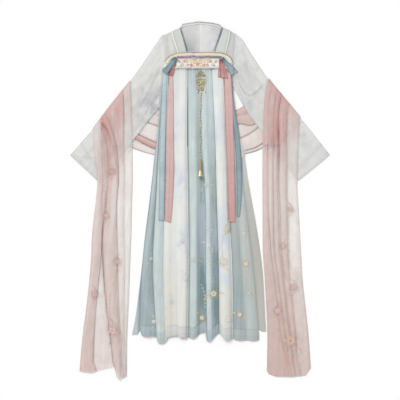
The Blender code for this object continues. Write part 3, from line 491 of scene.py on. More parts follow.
class Wiring:
    """Short hand for adding nodes to a tree and joining them."""

    def __init__(self, tree: bpy.types.NodeTree) -> None:
        """Keeps the tree that the nodes go into."""
        self.tree = tree

    def set(self, socket: bpy.types.NodeSocket, value: object) -> None:
        """Joins an output to a socket, or gives the socket a plain value."""
        if isinstance(value, bpy.types.NodeSocket):
            self.tree.links.new(value, socket)
        elif isinstance(value, tuple) and len(value) == 3 and socket.type == "RGBA":
            socket.default_value = (*value, 1.0)
        else:
            socket.default_value = value

    def node(self, kind: str, **inputs: object) -> bpy.types.Node:
        """A node of this kind, with its inputs set by name; spaces are written as underscores."""
        made = self.tree.nodes.new(kind)
        for key, value in inputs.items():
            self.set(made.inputs[key.replace("_", " ")], value)
        return made

    def math(self, operation: str, *values: object, clamp: bool = False) -> bpy.types.NodeSocket:
        """The result of one math operation on plain numbers or outputs."""
        made = self.tree.nodes.new("ShaderNodeMath")
        made.operation = operation
        made.use_clamp = clamp
        for socket, value in zip(made.inputs, values):
            self.set(socket, value)
        return made.outputs[0]

    def mix(self, share: object, one: object, other: object, blend: str = "MIX") -> bpy.types.NodeSocket:
        """Two colours mixed by a share."""
        made = self.tree.nodes.new("ShaderNodeMix")
        made.data_type = "RGBA"
        made.blend_type = blend
        for socket, value in ((made.inputs[0], share), (made.inputs[6], one), (made.inputs[7], other)):
            self.set(socket, value)
        return made.outputs[2]

    def ramp(self, value: object, low: float, high: float) -> bpy.types.NodeSocket:
        """A value brought from low and high to 0 and 1, with soft ends."""
        made = self.tree.nodes.new("ShaderNodeMapRange")
        made.interpolation_type = "SMOOTHSTEP"
        self.set(made.inputs["Value"], value)
        self.set(made.inputs["From Min"], low)
        self.set(made.inputs["From Max"], high)
        return made.outputs[0]

    def noise(self, vector: object, scale: object, detail: float = 2.0) -> bpy.types.NodeSocket:
        """The value of a noise texture."""
        return self.node("ShaderNodeTexNoise", Vector=vector, Scale=scale, Detail=detail).outputs[0]

    def stretched(self, vector: object, scale: tuple[float, float, float]) -> bpy.types.NodeSocket:
        """A vector with its parts multiplied."""
        made = self.tree.nodes.new("ShaderNodeVectorMath")
        made.operation = "MULTIPLY"
        self.set(made.inputs[0], vector)
        made.inputs[1].default_value = scale
        return made.outputs[0]

    def value(self, name: str, output: str = "Fac") -> bpy.types.NodeSocket:
        """A number, or with the output Color a colour, that the mesh keeps on its points."""
        made = self.tree.nodes.new("ShaderNodeAttribute")
        made.attribute_name = name
        return made.outputs[output]

    def bump(self, shader: bpy.types.Node, height: object, strength: float, distance: float) -> None:
        """Raises a shader's surface by a height."""
        made = self.node("ShaderNodeBump", Height=height, Strength=strength, Distance=distance)
        self.set(shader.inputs["Normal"], made.outputs[0])

    def group(self, tree: bpy.types.NodeTree, **inputs: object) -> bpy.types.Node:
        """A node group, with its inputs set by name."""
        made = self.tree.nodes.new("ShaderNodeGroup")
        made.node_tree = tree
        for key, value in inputs.items():
            self.set(made.inputs[key], value)
        return made


def new_group(name: str, inputs: dict[str, Socket], outputs: dict[str, Socket]
              ) -> tuple[Wiring, bpy.types.Node, bpy.types.Node]:
    """An empty node group with named sockets.

    Args:
        name: Name of the group.
        inputs: Kind of each input.
        outputs: Kind of each output.

    Returns:
        Its wiring, and its input and output nodes.
    """
    tree = bpy.data.node_groups.new(name, "ShaderNodeTree")
    for key, kind in inputs.items():
        tree.interface.new_socket(key, in_out="INPUT", socket_type=kind.value)
    for key, kind in outputs.items():
        tree.interface.new_socket(key, in_out="OUTPUT", socket_type=kind.value)
    return Wiring(tree), tree.nodes.new("NodeGroupInput"), tree.nodes.new("NodeGroupOutput")


def new_material(name: str) -> tuple[bpy.types.Material, Wiring, bpy.types.Node, bpy.types.NodeSocket]:
    """A material with nothing but its shader.

    Args:
        name: Name of the material.

    Returns:
        The material, its wiring, its shader, and the place on the object that its textures are read at.
    """
    made = bpy.data.materials.new(name)
    made.use_nodes = True
    w = Wiring(made.node_tree)
    return made, w, made.node_tree.nodes["Principled BSDF"], w.node("ShaderNodeTexCoord").outputs["Object"]


class Effects:
    """The shader effects that several finishes share, each built once as a node group."""

    def __init__(self) -> None:
        """Builds the four groups."""
        self.wash = self.build_wash()
        self.weave = self.build_weave()
        self.dye = self.build_dye()
        self.seam = self.build_seam()

    @staticmethod
    def build_wash() -> bpy.types.NodeTree:
        """Washed patches, as of thinned ink: Patch is broad noise past a threshold, broken up by finer noise.

        Mottle is the finer noise alone, from about -0.3 to 0.3.
        """
        w, given, out = new_group(
            "washed_patches", {"Vector": Socket.VECTOR, "Scale": Socket.NUMBER, "Amount": Socket.NUMBER},
            {"Patch": Socket.NUMBER, "Mottle": Socket.NUMBER})
        broad = w.noise(given.outputs["Vector"], given.outputs["Scale"], 4.0)
        fine = w.noise(given.outputs["Vector"], w.math("MULTIPLY", given.outputs["Scale"], 5.3), 3.0)
        mottle = w.math("SUBTRACT", fine, 0.5)
        w.set(out.inputs["Mottle"], mottle)
        patch = w.ramp(w.math("MULTIPLY_ADD", mottle, 0.35, broad), 0.46, 0.64)
        w.set(out.inputs["Patch"], w.math("MULTIPLY", patch, given.outputs["Amount"]))
        return w.tree

    @staticmethod
    def build_weave() -> bpy.types.NodeTree:
        """Plain weave on the cloth's own metres: Height is sin(warp) sin(weft) with slubs.

        Gap is high where threads part, and Streak is noise drawn out along the threads, lighter and darker:
        partly uneven threads, partly painted shade of fine lengthwise pleats.
        """
        w, given, out = new_group("plain_weave", {"UV": Socket.VECTOR, "Pitch": Socket.NUMBER},
                                  {"Height": Socket.NUMBER, "Gap": Socket.NUMBER, "Streak": Socket.NUMBER})
        turns = w.math("DIVIDE", 2 * math.pi, given.outputs["Pitch"])
        parts = w.node("ShaderNodeSeparateXYZ", Vector=given.outputs["UV"])
        slub = w.noise(w.stretched(given.outputs["UV"], (900.0, 60.0, 1.0)), 1.0, 2.0)
        warp = w.math("SINE", w.math("MULTIPLY", parts.outputs[0], turns))
        weft = w.math("SINE", w.math("MULTIPLY", parts.outputs[1], turns))
        height = w.math("MULTIPLY_ADD", w.math("MULTIPLY", warp, weft), 0.5, w.math("MULTIPLY", slub, 0.6))
        w.set(out.inputs["Height"], height)
        apart = w.math("MULTIPLY", w.math("ABSOLUTE", warp), w.math("ABSOLUTE", weft))
        w.set(out.inputs["Gap"], w.math("SUBTRACT", apart, 0.405))
        w.set(out.inputs["Streak"], w.noise(w.stretched(given.outputs["UV"], (210.0, 5.0, 1.0)), 1.0, 5.0))
        return w.tree

    @staticmethod
    def build_dye() -> bpy.types.NodeTree:
        """Dyed cloth: Pale to Deep by Tint, Stain by Patch, lighter or darker by Streak, Shadow by Shade."""
        w, given, out = new_group("dyed_cloth", {
            "Pale": Socket.COLOUR, "Deep": Socket.COLOUR, "Stain": Socket.COLOUR, "Shadow": Socket.COLOUR,
            "Tint": Socket.NUMBER, "Patch": Socket.NUMBER, "Streak": Socket.NUMBER, "Shade": Socket.NUMBER,
            "Contrast": Socket.NUMBER}, {"Color": Socket.COLOUR})
        streak = w.math("SUBTRACT", given.outputs["Streak"], 0.5)
        tint = w.math("MULTIPLY_ADD", streak, given.outputs["Contrast"], given.outputs["Tint"], clamp=True)
        dyed = w.mix(tint, given.outputs["Pale"], given.outputs["Deep"])
        washed = w.mix(given.outputs["Patch"], dyed, given.outputs["Stain"])
        shade = w.math("ADD", given.outputs["Shade"], 0.0, clamp=True)
        w.set(out.inputs["Color"], w.mix(shade, washed, given.outputs["Shadow"]))
        return w.tree

    @staticmethod
    def build_seam() -> bpy.types.NodeTree:
        """Running stitch beside a hem: Thread is 1 in dashes where |edge - at| is under half a thread."""
        w, given, out = new_group("running_stitch", {"Edge": Socket.NUMBER, "UV": Socket.VECTOR,
                                                     "At": Socket.NUMBER}, {"Thread": Socket.NUMBER})
        off = w.math("ABSOLUTE", w.math("SUBTRACT", given.outputs["Edge"], given.outputs["At"]))
        line = w.ramp(off, 0.0009, 0.0003)
        parts = w.node("ShaderNodeSeparateXYZ", Vector=given.outputs["UV"])
        run = w.math("ADD", parts.outputs[0], parts.outputs[1])
        dash = w.ramp(w.math("SINE", w.math("MULTIPLY", run, 2 * math.pi / 0.004)), -0.7, -0.5)
        w.set(out.inputs["Thread"], w.math("MULTIPLY", line, dash))
        return w.tree


@dataclass(frozen=True)
class ClothFinish:
    """A woven cloth: its colours, its weave and how sheer and soft it is."""

    name: str
    pale: Colour
    deep: Colour
    stain_and_painted_light: Colour
    shadow: Colour
    patch_size: float = 9.0  # patches to a metre
    patches: float = 0.3
    drawn: float = 1.0  # patches down the cloth for one across it
    mottle: float = 0.25
    contrast: float = 0.35
    pitch: float = 0.0011
    relief: float = 0.0001
    open_weave: float = 0.0
    roughness: float = 0.82
    sheen: float = 0.25
    stitch_at: float = 0.006

    def material(self, effects: Effects) -> bpy.types.Material:
        """The material: dye, patches, streaks and stitches in its colour, the weave in its relief and cover.

        Args:
            effects: The shared node groups.

        Returns:
            The material.
        """
        made, w, shader, place = new_material(self.name)
        uv = w.tree.nodes.new("ShaderNodeUVMap")
        uv.uv_map = "UVMap"
        weave = w.group(effects.weave, UV=uv.outputs[0], Pitch=self.pitch)
        wash = w.group(effects.wash, Vector=w.stretched(place, (1.0, self.drawn, 1.0)),
                       Scale=self.patch_size, Amount=self.patches)
        broken = w.math("MULTIPLY_ADD", wash.outputs["Mottle"], 2.0, 0.7)
        patch = w.math("MULTIPLY_ADD", w.value("stain_and_painted_light"), broken, wash.outputs["Patch"], clamp=True)
        tint = w.math("MULTIPLY_ADD", wash.outputs["Mottle"], self.mottle, w.value("tint"))
        seam = w.group(effects.seam, Edge=w.value("edge"), UV=uv.outputs[0], At=self.stitch_at)
        shade = w.math("MULTIPLY_ADD", seam.outputs["Thread"], 0.35, w.value("shade"))
        dye = w.group(effects.dye, Pale=self.pale, Deep=self.deep, Stain=self.stain_and_painted_light, Shadow=self.shadow,
                      Tint=tint, Patch=patch, Streak=weave.outputs["Streak"],
                      Shade=shade, Contrast=self.contrast)
        w.set(shader.inputs["Base Color"], dye.outputs["Color"])
        relief = w.math("MULTIPLY_ADD", seam.outputs["Thread"], 1.5, weave.outputs["Height"])
        w.bump(shader, relief, 0.6, self.relief)
        if self.open_weave > 0:
            w.set(shader.inputs["Alpha"], w.math("MULTIPLY_ADD", weave.outputs["Gap"], -self.open_weave,
                                                 w.value("cover"), clamp=True))
        shader.inputs["Roughness"].default_value = self.roughness
        shader.inputs["Sheen Weight"].default_value = self.sheen
        shader.inputs["Sheen Roughness"].default_value = 0.5
        shader.inputs["Specular IOR Level"].default_value = 0.25
        return made


@dataclass(frozen=True)
class ThreadFinish:
    """Embroidery and cord threads, in the colour that each point of the mesh keeps."""

    name: str
    roughness: float = 0.42
    sheen: float = 0.3

    def material(self, effects: Effects) -> bpy.types.Material:
        """The material: the thread's own colour, with fine filaments in its relief.

        Args:
            effects: The shared node groups.

        Returns:
            The material.
        """
        made, w, shader, place = new_material(self.name)
        colour = w.value("thread", "Color")
        wash = w.group(effects.wash, Vector=place, Scale=60.0, Amount=0.25)
        w.set(shader.inputs["Base Color"],
              w.mix(wash.outputs["Patch"], colour, (0.75, 0.75, 0.75), "MULTIPLY"))
        filaments = w.noise(place, 2500.0, 2.0)
        w.bump(shader, filaments, 0.5, 0.00008)
        shader.inputs["Roughness"].default_value = self.roughness
        shader.inputs["Sheen Weight"].default_value = self.sheen
        return made


@dataclass(frozen=True)
class MetalFinish:
    """Gilt metal, darker and duller in patches where the gilding is rubbed thin."""

    name: str
    bright: Colour
    wear_and_shade: Colour
    roughness: float = 0.3

    def material(self, effects: Effects) -> bpy.types.Material:
        """The material: bright metal with rubbed patches in its colour and roughness.

        Args:
            effects: The shared node groups.

        Returns:
            The material.
        """
        made, w, shader, place = new_material(self.name)
        wash = w.group(effects.wash, Vector=place, Scale=220.0, Amount=1.0)
        # The shade value darkens towards the wear_and_shade colour: dull gilding on the parts, painted shade
        # on the darker copies under the filigree.
        shade = w.value("shade")
        dark = w.math("MAXIMUM", w.math("MULTIPLY", wash.outputs["Patch"], 0.5), shade)
        w.set(shader.inputs["Base Color"], w.mix(dark, self.bright, self.wear_and_shade))
        w.set(shader.inputs["Roughness"], w.math("MULTIPLY_ADD", wash.outputs["Patch"], 0.25, self.roughness))
        grain = w.noise(place, 1500.0, 2.0)
        w.bump(shader, grain, 0.25, 0.0001)
        shader.inputs["Metallic"].default_value = 0.75
        return made


@dataclass(frozen=True)
class PearlFinish:
    """Pearl: pale, warm and cool in soft clouds under a clear coat."""

    name: str
    warm: Colour = (0.86, 0.84, 0.80)
    cool: Colour = (0.80, 0.76, 0.80)

    def material(self, effects: Effects) -> bpy.types.Material:
        """The material: clouded pale colour with a coat.

        Args:
            effects: The shared node groups.

        Returns:
            The material.
        """
        made, w, shader, place = new_material(self.name)
        wash = w.group(effects.wash, Vector=place, Scale=260.0, Amount=0.8)
        w.set(shader.inputs["Base Color"], w.mix(wash.outputs["Patch"], self.warm, self.cool))
        grain = w.noise(place, 900.0, 3.0)
        w.bump(shader, grain, 0.1, 0.0001)
        shader.inputs["Roughness"].default_value = 0.25
        shader.inputs["Coat Weight"].default_value = 0.6
        return made


class Slot(Enum):
    """The material slots of the robe, and the finish of each."""

    sheer_shirt = ClothFinish("sheer_shirt", linear(254, 254, 252), linear(218, 218, 214),
                              linear(208, 208, 214), linear(128, 134, 138), patch_size=8.0, patches=0.22,
                              mottle=0.4, open_weave=0.25, contrast=0.2, stitch_at=0.007)
    collar_trim = ClothFinish("collar_trim", linear(246, 246, 236), linear(74, 94, 106),
                              linear(206, 214, 218), linear(60, 75, 85), mottle=0.1, contrast=0.12,
                              pitch=0.0007)
    skirt_white = ClothFinish("skirt_white", linear(223, 225, 221), linear(194, 187, 174),
                              linear(198, 206, 216), linear(112, 130, 138), patch_size=6.0, patches=0.55,
                              drawn=0.6, contrast=0.45)
    skirt_aqua = ClothFinish("skirt_aqua", linear(208, 219, 217), linear(130, 145, 148),
                             linear(186, 184, 178), linear(92, 108, 114), patch_size=7.0, patches=0.3,
                             drawn=0.6, contrast=0.6)
    skirt_blue = ClothFinish("skirt_blue", linear(206, 218, 216), linear(92, 116, 122),
                             linear(190, 196, 208), linear(58, 78, 82), patch_size=6.0, patches=0.4,
                             drawn=0.6, contrast=0.55)
    shawl_gauze = ClothFinish("shawl_gauze", linear(246, 242, 238), linear(216, 170, 165),
                              linear(212, 198, 188), linear(140, 96, 90), patch_size=9.0, patches=0.16,
                              drawn=0.5, open_weave=0.4, contrast=0.3, pitch=0.0013)
    # The binding's third colour, a pale yellow, is chiefly its painted highlight along the middle of the
    # bound edge.
    binding = ClothFinish("binding", linear(234, 228, 206), linear(150, 108, 80), linear(238, 214, 128),
                          linear(90, 84, 84), patch_size=40.0, patches=0.1, pitch=0.0006)
    embroidery = ClothFinish("embroidery", linear(230, 228, 219), linear(206, 190, 168),
                             linear(214, 208, 212), linear(160, 150, 136), patch_size=24.0, pitch=0.0008)
    ribbon_pink = ClothFinish("ribbon_pink", linear(216, 196, 193), linear(182, 108, 104),
                              linear(206, 168, 164), linear(92, 44, 50), patch_size=14.0, mottle=0.3,
                              pitch=0.0007, relief=0.00006, roughness=0.6, stitch_at=0.0025)
    ribbon_teal = ClothFinish("ribbon_teal", linear(190, 206, 209), linear(88, 114, 126),
                              linear(150, 172, 182), linear(50, 70, 82), patch_size=14.0, mottle=0.3,
                              pitch=0.0007, relief=0.00006, roughness=0.6, stitch_at=0.0025)
    twisted_cord = ThreadFinish("twisted_cord", 0.5)
    embroidery_thread = ThreadFinish("embroidery_thread", 0.42)
    gilt_metal = MetalFinish("gilt_metal", (0.97, 0.82, 0.42), (0.40, 0.31, 0.22))
    pearl = PearlFinish("pearl")


GOLD = linear(226, 194, 120)
OLD_GOLD = linear(190, 166, 118)
CREAM = linear(242, 238, 226)
CORAL = linear(218, 146, 118)
LAVENDER = linear(176, 168, 206)
LEAF = linear(176, 184, 158)


# ---------------------------------------------------------------- laying and dressing

@dataclass
class Laid:
    """A piece of cloth that has been laid: its middle surface, and the values on it."""

    points: Array
    tint: Array | float = 0.3
    shade: Array | float = 0.0
    cover: Array | float = 1.0
    stain_and_painted_light: Array | float = 0.0
    edge: Array | None = None
    wrapped: bool = False

    def hem_distance(self) -> Array:
        """Distance of each point to the nearest border, the least of the four running lengths."""
        down, across = arc_length(self.points, 0), arc_length(self.points, 1)
        ends = np.minimum(down, down[-1:] - down)
        if self.wrapped:
            return down[-1:] - down
        return np.minimum(ends, to_rim(across))


class Wardrobe:
    """Keeps the heap and the finishes, and turns what is laid into dressed pieces."""

    def __init__(self) -> None:
        """A bare floor, and every finish made once."""
        self.heap = Heap()
        effects = Effects()
        self.materials = {slot: slot.value.material(effects) for slot in Slot}
        self.made: list[str] = []

    def dress(self, piece: bpy.types.Object, slot: Slot, *nodes: str) -> None:
        """Gives a piece the finish of its slot and its body, and hides the CAD parts that it stands for."""
        piece.data.materials.append(self.materials[slot])
        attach(piece, "root")
        if nodes:
            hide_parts(*nodes)
        self.made.append(piece.name)
        log.info("%s: %d faces", piece.name, len(piece.data.polygons))

    def cloth(self, name: str, laid: Laid, slot: Slot, nodes: tuple[str, ...], rests_on: tuple[str, ...] = ()
              ) -> None:
        """Puts a laid piece of cloth into a mesh and dresses it.

        Args:
            name: Name of the piece.
            laid: The cloth.
            slot: Its finish.
            nodes: The CAD nodes that it stands for.
            rests_on: The nodes that it lies on; not used.
        """
        shape = laid.points.shape[:2]
        if laid.edge is None:
            laid.edge = laid.hem_distance()
        values = {key: np.tile(np.broadcast_to(getattr(laid, key), shape).ravel(), 2)
                  for key in ("tint", "shade", "cover", "stain_and_painted_light", "edge")}
        uv = np.stack([arc_length(laid.points, 1), arc_length(laid.points, 0)], -1).reshape(-1, 2)
        piece = make_piece(name, shell(laid.points, laid.wrapped), values, np.tile(uv, (2, 1)))
        self.dress(piece, slot, *nodes)

    def settle(self, plan: Array, rise: Array | float = 0.0, reach: float = REACH, soften: float = SOFTEN
               ) -> Array:
        """Points of a cloth whose plan and rise over the heap are given in metres."""
        height = self.heap.over(plan[..., 0], plan[..., 1], reach, soften) + WALL + rise
        return np.concatenate([plan, height[..., None]], axis=-1)

    def lay(self, *grids: Array) -> None:
        """Adds grids of points to the heap, with half their wall."""
        for grid in grids:
            self.heap.lay(grid + UP * WALL / 2)


def per_layer(cover: float) -> float:
    """Cover of each face of a wall that hides this share of what is behind both: 1 - √(1 - cover)."""
    return 1 - math.sqrt(1 - cover)


# ---------------------------------------------------------------- folded cloth

@dataclass(frozen=True)
class Fold:
    """A fold line along a cloth.

    Its place at each station, how high its valley stays as a share, how many millimetres of cloth are doubled
    under there (more than 0 with the left-hand cloth on top), how dark it is down its length, and how wide.
    """

    at: tuple[float, ...]
    dip: float = 0.0
    tuck: float = 0.0
    shade: float | tuple[float, ...] = 0.0
    spread: float = 3.0


@dataclass(frozen=True)
class Lobe:
    """The cloth between two fold lines: its height as a share, how boxy it is, and its tint down it."""

    height: float
    box: float
    tint: tuple[float, ...]


@dataclass
class Columns:
    """Columns of a pleated cloth: the line before each, share past it, offset in mm, layer and lobe."""

    line: Array
    share: Array
    offset: Array
    layer: Array
    lobe: Array

    @staticmethod
    def between(folds: tuple[Fold, ...], first: int, last: int, widths: Array, step: float = STEP
                ) -> "Columns":
        """Columns from one fold line to another, with the cloth doubled under wherever a line is tucked.

        Args:
            folds: All the fold lines.
            first: The line that the cloth starts at.
            last: The line that it ends at.
            widths: Greatest width between the lines, in millimetres.
            step: Distance between columns.

        Returns:
            The columns in order across the cloth.
        """
        parts = []
        for k in range(first, last):
            left, right = folds[k].tuck, folds[k + 1].tuck
            count = max(4, int(np.ceil((widths[k] + abs(left) / 2 + abs(right) / 2) / step)) + 1)
            u = np.linspace(0, 1, count)
            if k > first and left == 0:
                u = u[1:]
            offset = -abs(left) / 2 * (1 - u) + abs(right) / 2 * u
            start, end = (2.0 if left < 0 else 0.0), (2.0 if right > 0 else 0.0)
            parts.append(np.stack([0 * u + k, u, offset, start + (end - start) * steps(u, 0, 1), 0 * u + k]))
            if right and k + 1 < last:
                half, top = abs(right) / 2, right > 0
                turn = np.array([half + 0.35, half - 0.3, 0.3 - half, -half - 0.35])
                layer = np.array([1.5, 1.0, 1.0, 0.5]) if top else np.array([0.5, 1.0, 1.0, 1.5])
                lobe = np.array([k, k, k + 1, k + 1])
                parts.append(np.stack([0 * turn + k + 1, 0 * turn, turn, layer, lobe]))
        line, share, offset, layer, lobe = np.concatenate(parts, axis=1)
        return Columns(line.astype(int), share, offset, layer, lobe.astype(int))

    def places(self, lines: Array) -> Array:
        """Place of each column by its share of the way from its line to the next.

        Args:
            lines: Place of every fold line, rows by columns by lines.

        Returns:
            The places, rows by columns.
        """
        pick = np.arange(len(self.line))
        following = np.minimum(self.line + 1, lines.shape[-1] - 1)
        return lines[:, pick, self.line] * (1 - self.share) + lines[:, pick, following] * self.share


@dataclass(frozen=True)
class Pleats:
    """Fold lines and lobes over a cloth, from which its section, tint and shade are read at any place."""

    folds: tuple[Fold, ...]
    lobes: tuple[Lobe, ...]
    softest: float = 0.6

    def crown(self, lines: Array, x: Array) -> Array:
        """Height share at places x: the line between two dips plus (height - line) sin(πu)^box over it.

        Args:
            lines: Place of every fold line at each point, with the lines last.
            x: Places of the points, on the same scale.

        Returns:
            The share of the full height at each point.
        """
        k = np.clip((x[..., None] >= lines).sum(axis=-1) - 1, 0, len(self.lobes) - 1)
        left = np.take_along_axis(lines, k[..., None], -1)[..., 0]
        right = np.take_along_axis(lines, k[..., None] + 1, -1)[..., 0]
        u = np.clip((x - left) / np.maximum(right - left, 1e-9), 0, 1)
        dips = np.array([fold.dip for fold in self.folds])
        tall = np.array([lobe.height for lobe in self.lobes])[k]
        box = np.maximum(np.array([lobe.box for lobe in self.lobes]), self.softest)[k]
        line = dips[k] * (1 - u) + dips[k + 1] * u
        return line + np.clip(tall - line, 0, None) * np.sin(np.pi * u).clip(0) ** box

    def shading(self, lines: Array, x: Array, down: Array, scale: Array | float) -> Array:
        """Shade at places x: the sum over the lines of shade exp(-(distance / spread)²).

        On top of a tuck it is a quarter of that.
        """
        total = np.zeros(x.shape)
        for i, fold in enumerate(self.folds):
            levels = np.atleast_1d(fold.shade)
            away = (x - lines[..., i]) * scale - fold.tuck / 2
            near = hump(away, 0, fold.spread) * np.where(away * fold.tuck < 0, 0.25, 1.0)
            total += near * np.interp(down, np.linspace(0, 1, len(levels)), levels)
        return total

    def tinting(self, lines: Array, x: Array, columns: Columns, down: Array, scale: Array | float,
                blend: float = 7.0) -> Array:
        """Tint of each point: its lobe's own, mixed into the next one's beside a line that isn't tucked."""
        knots = np.linspace(0, 1, len(self.lobes[0].tint))
        tints = np.stack([np.interp(down, knots, lobe.tint) for lobe in self.lobes], axis=-1)
        own = np.broadcast_to(columns.lobe, x.shape)
        tint = np.take_along_axis(tints, own[..., None], -1)[..., 0]
        result = tint.copy()
        for side in (0, 1):
            other = np.clip(own + (1 if side else -1), 0, len(self.lobes) - 1)
            border = own + side
            loose = np.array([fold.tuck == 0 for fold in self.folds])[border]
            away = np.abs(x - np.take_along_axis(lines, border[..., None], -1)[..., 0]) * scale
            share = 0.5 * (1 - steps(away, 0, blend)) * loose
            result += share * (np.take_along_axis(tints, other[..., None], -1)[..., 0] - tint)
        return result


# ---------------------------------------------------------------- the skirt

@dataclass
class Skirt:
    """The chest-high skirt: a plain back, and a front of six panels pleated into the chest band."""

    top: float = 556.0
    stations: tuple[float, ...] = (551, 254, 0, -256, -575)
    tall_top: float = 5.0
    tall_hem: float = 17.0
    back_edges: Rows = (
        (585, -150, 139), (530, -156, 134), (483, -160, 136), (415, -165, 144), (347, -173, 155),
        (254, -184, 173), (199, -191, 187), (84, -204, 205), (0, -214, 220), (-167, -235, 249),
        (-311, -250, 267), (-409, -262, 273), (-507, -276, 278), (-575, -289, 282))
    back_hem: Rows = (
        (-289, -575), (-266, -572), (-255, -549), (0, -547), (248, -549), (262, -559), (282, -560))
    pleats: Pleats = Pleats(
        folds=(
            Fold((-158, -184, -211, -242, -256), 0.00, 0, 0.10, 3),
            Fold((-153, -171, -184, -197, -182), 0.12, -6, (0.0, 0.3, 0.35, 0.3, 0.2), 4),
            Fold((-129, -137, -146, -152, -146), 0.18, -8, (0.0, 0.1, 0.15, 0.1, 0.1), 4),
            Fold((-92, -96, -99, -100, -94), 0.55, 0, 0.05, 5),
            Fold((-58, -58, -54, -52, -55), 0.00, 9, (0.3, 0.8, 1.0, 1.0, 0.9, 0.8, 0.85, 0.85), 5.0),
            Fold((-12, -8, -8, -6, -6), 0.15, 0, (0.15, 0.3, 0.25, 0.4, 0.5), 9),
            Fold((1, 5, 20, 20, 26), 0.16, 6, (0.0, 0.25, 0.3, 0.5, 0.4), 3.5),
            Fold((28, 35, 46, 50, 54), 0.32, 0, (0.1, 0.15, 0.2, 0.25, 0.25), 6),
            Fold((54, 68, 75, 83, 86), 0.00, -8, (0.2, 0.35, 0.5, 0.7, 0.6), 4),
            Fold((95, 109, 118, 133, 137), 0.00, 7, (0.1, 0.3, 0.5, 0.7, 0.6), 3),
            Fold((108, 130, 152, 174, 194), 0.25, 0, (0.05, 0.1, 0.15, 0.15, 0.1), 8),
            Fold((126, 160, 190, 222, 251), 0.00, 0, 0.10, 3)),
        lobes=(
            Lobe(0.70, 1.2, (0.3, 0.4, 0.52, 0.60, 0.65)), Lobe(0.45, 1.0, (0.0, 0.1, 0.25, 0.30, 0.25)),
            Lobe(0.45, 0.7, (0.0, 0.0, 0.1, 0.35, 0.60)), Lobe(0.80, 0.45, (0.0, 0.0, 0.05, 0.15, 0.35)),
            Lobe(0.42, 0.8, (0.2, 0.15, 0.15, 0.2, 0.25)), Lobe(0.25, 1.0, (0.35, 0.48, 0.62, 0.85, 0.85)),
            Lobe(0.50, 0.8, (0.1, 0.12, 0.1, 0.12, 0.15)), Lobe(0.10, 1.0, (0.1, 0.3, 0.65, 0.85, 0.85)),
            Lobe(1.00, 0.35, (0.05, 0.05, 0.15, 0.25, 0.5)), Lobe(0.55, 0.8, (0.5, 0.5, 0.65, 0.75, 0.8)),
            Lobe(0.45, 0.8, (0.2, 0.22, 0.32, 0.5, 0.5))))
    # Mostly washes of pooled dye; the bluish cloud at (-72, -150), on the white left panel's right side, is
    # painted shade.
    tone_clouds: Rows = (  # x, y, half width, half height, slant and strength of the clouds
        (100, -170, 26, 110, 0.0, 0.6), (-72, -150, 20, 90, 0.0, 0.5), (-98, 470, 16, 70, 0.0, 0.5),
        (-88, 60, 16, 60, 0.3, 0.5), (76, 480, 18, 80, 0.0, 0.45), (-26, -310, 12, 60, 0.0, 0.4),
        (-40, -190, 9, 70, 0.0, 0.6), (118, -330, 14, 60, 0.2, 0.4), (240, -330, 50, 300, -0.15, 0.8),
        (192, 40, 22, 110, -0.2, 0.7), (-250, -330, 14, 260, 0.16, 0.5))
    sheer_hem: dict[Slot, tuple[float, float]] = field(default_factory=lambda: {  # shade and tint
        Slot.skirt_white: (0.24, 0.1), Slot.skirt_aqua: (0.10, 0.45), Slot.skirt_blue: (0.08, 0.42)})
    panels: tuple[tuple[str, int, int, Slot], ...] = (
        ("outer_left", 0, 1, Slot.skirt_blue), ("aqua_left", 1, 2, Slot.skirt_aqua),
        ("white_left", 2, 4, Slot.skirt_white), ("blue_centre", 4, 8, Slot.skirt_blue),
        ("white_right", 8, 9, Slot.skirt_white), ("blue_right", 9, 11, Slot.skirt_aqua))
    hem: Rows = (
        (-256, -551), (-246, -578), (-211, -574), (-184, -580), (-180, -607), (-157, -608), (-146, -602),
        (-138, -582), (-122, -577), (-98, -573), (-87, -582), (-46, -583), (-33, -588), (-16, -581),
        (-3, -569),
        (15, -557), (25, -565), (29, -599), (42, -600), (52, -590), (64, -578), (80, -566), (88, -571),
        (101, -589), (135, -587), (151, -592), (205, -594), (251, -596))
    waves: Rows = (  # height, length, drift and phase of the ripples across all the panels
        (0.35, 41.0, 0.7, 0.10), (0.28, 23.0, -0.6, 0.45), (0.18, 13.7, 0.9, 0.80), (0.10, 8.3, -1.1, 0.30))
    gathers: Rows = ((0.9, 10.5, 0.0, 0.2), (0.5, 6.1, 0.3, 0.7))
    gather_length: float = 95.0
    rows: int = 232
    back_grid: tuple[int, int] = (170, 100)
    hem_band: float = 44.0

    def lay_back(self, wardrobe: Wardrobe) -> None:
        """Lays the plain back: both side edges through their table, rows down to its hem."""
        edges = np.array(self.back_edges)
        rows, columns = self.back_grid
        share = np.linspace(0, 1, columns)
        hem = np.array(self.back_hem)
        hem_x = edges[-1, 1] + share * (edges[-1, 2] - edges[-1, 1])
        down = np.linspace(0, 1, rows)[:, None]
        y = edges[0, 0] + down * (np.interp(hem_x, hem[:, 0], hem[:, 1]) - edges[0, 0])
        sides = smooth(edges[:, 0], edges[:, 1:], y)
        x = sides[..., 0] * (1 - share) + sides[..., 1] * share
        rise = (0.5 + ripples(x, down, self.waves)) * steps(down, 0, 0.1) * MM * 0.4
        points = wardrobe.settle(np.stack([x, y], axis=-1) * MM, rise)
        wardrobe.lay(points)
        folds = self.pleats.folds
        outside = [sign * (smooth(self.stations, np.array(folds[i].at, float), y) - x)
                   for sign, i in ((1, 0), (-1, len(folds) - 1))]
        near = [steps(np.abs(off), reach, 3) for off, reach in zip(outside, (16, 12))]
        shade = 0.05 + 0.5 * near[0] + 0.15 * near[1] + 0.26 * steps(share, 0.3, 0.1)
        right = 0.14 + 0.12 * steps(down, 0.25, 0.45) - 0.06 * steps(down, 0.75, 0.95)
        shade += steps(share, 0.6, 0.8) * right
        laid = Laid(points, tint=0.05 + 0.80 * steps(share, 0.5, 0.9) * steps(down, 0.25, 0.65), shade=shade,
                    stain_and_painted_light=0.8 * steps(share, 0.3, 0.1) - 0.6 * steps(share, 0.5, 0.7) + 0 * down)
        wardrobe.cloth("skirt_back_cloth", laid, Slot.skirt_white, ("skirt_back",), ("shawl_back",))

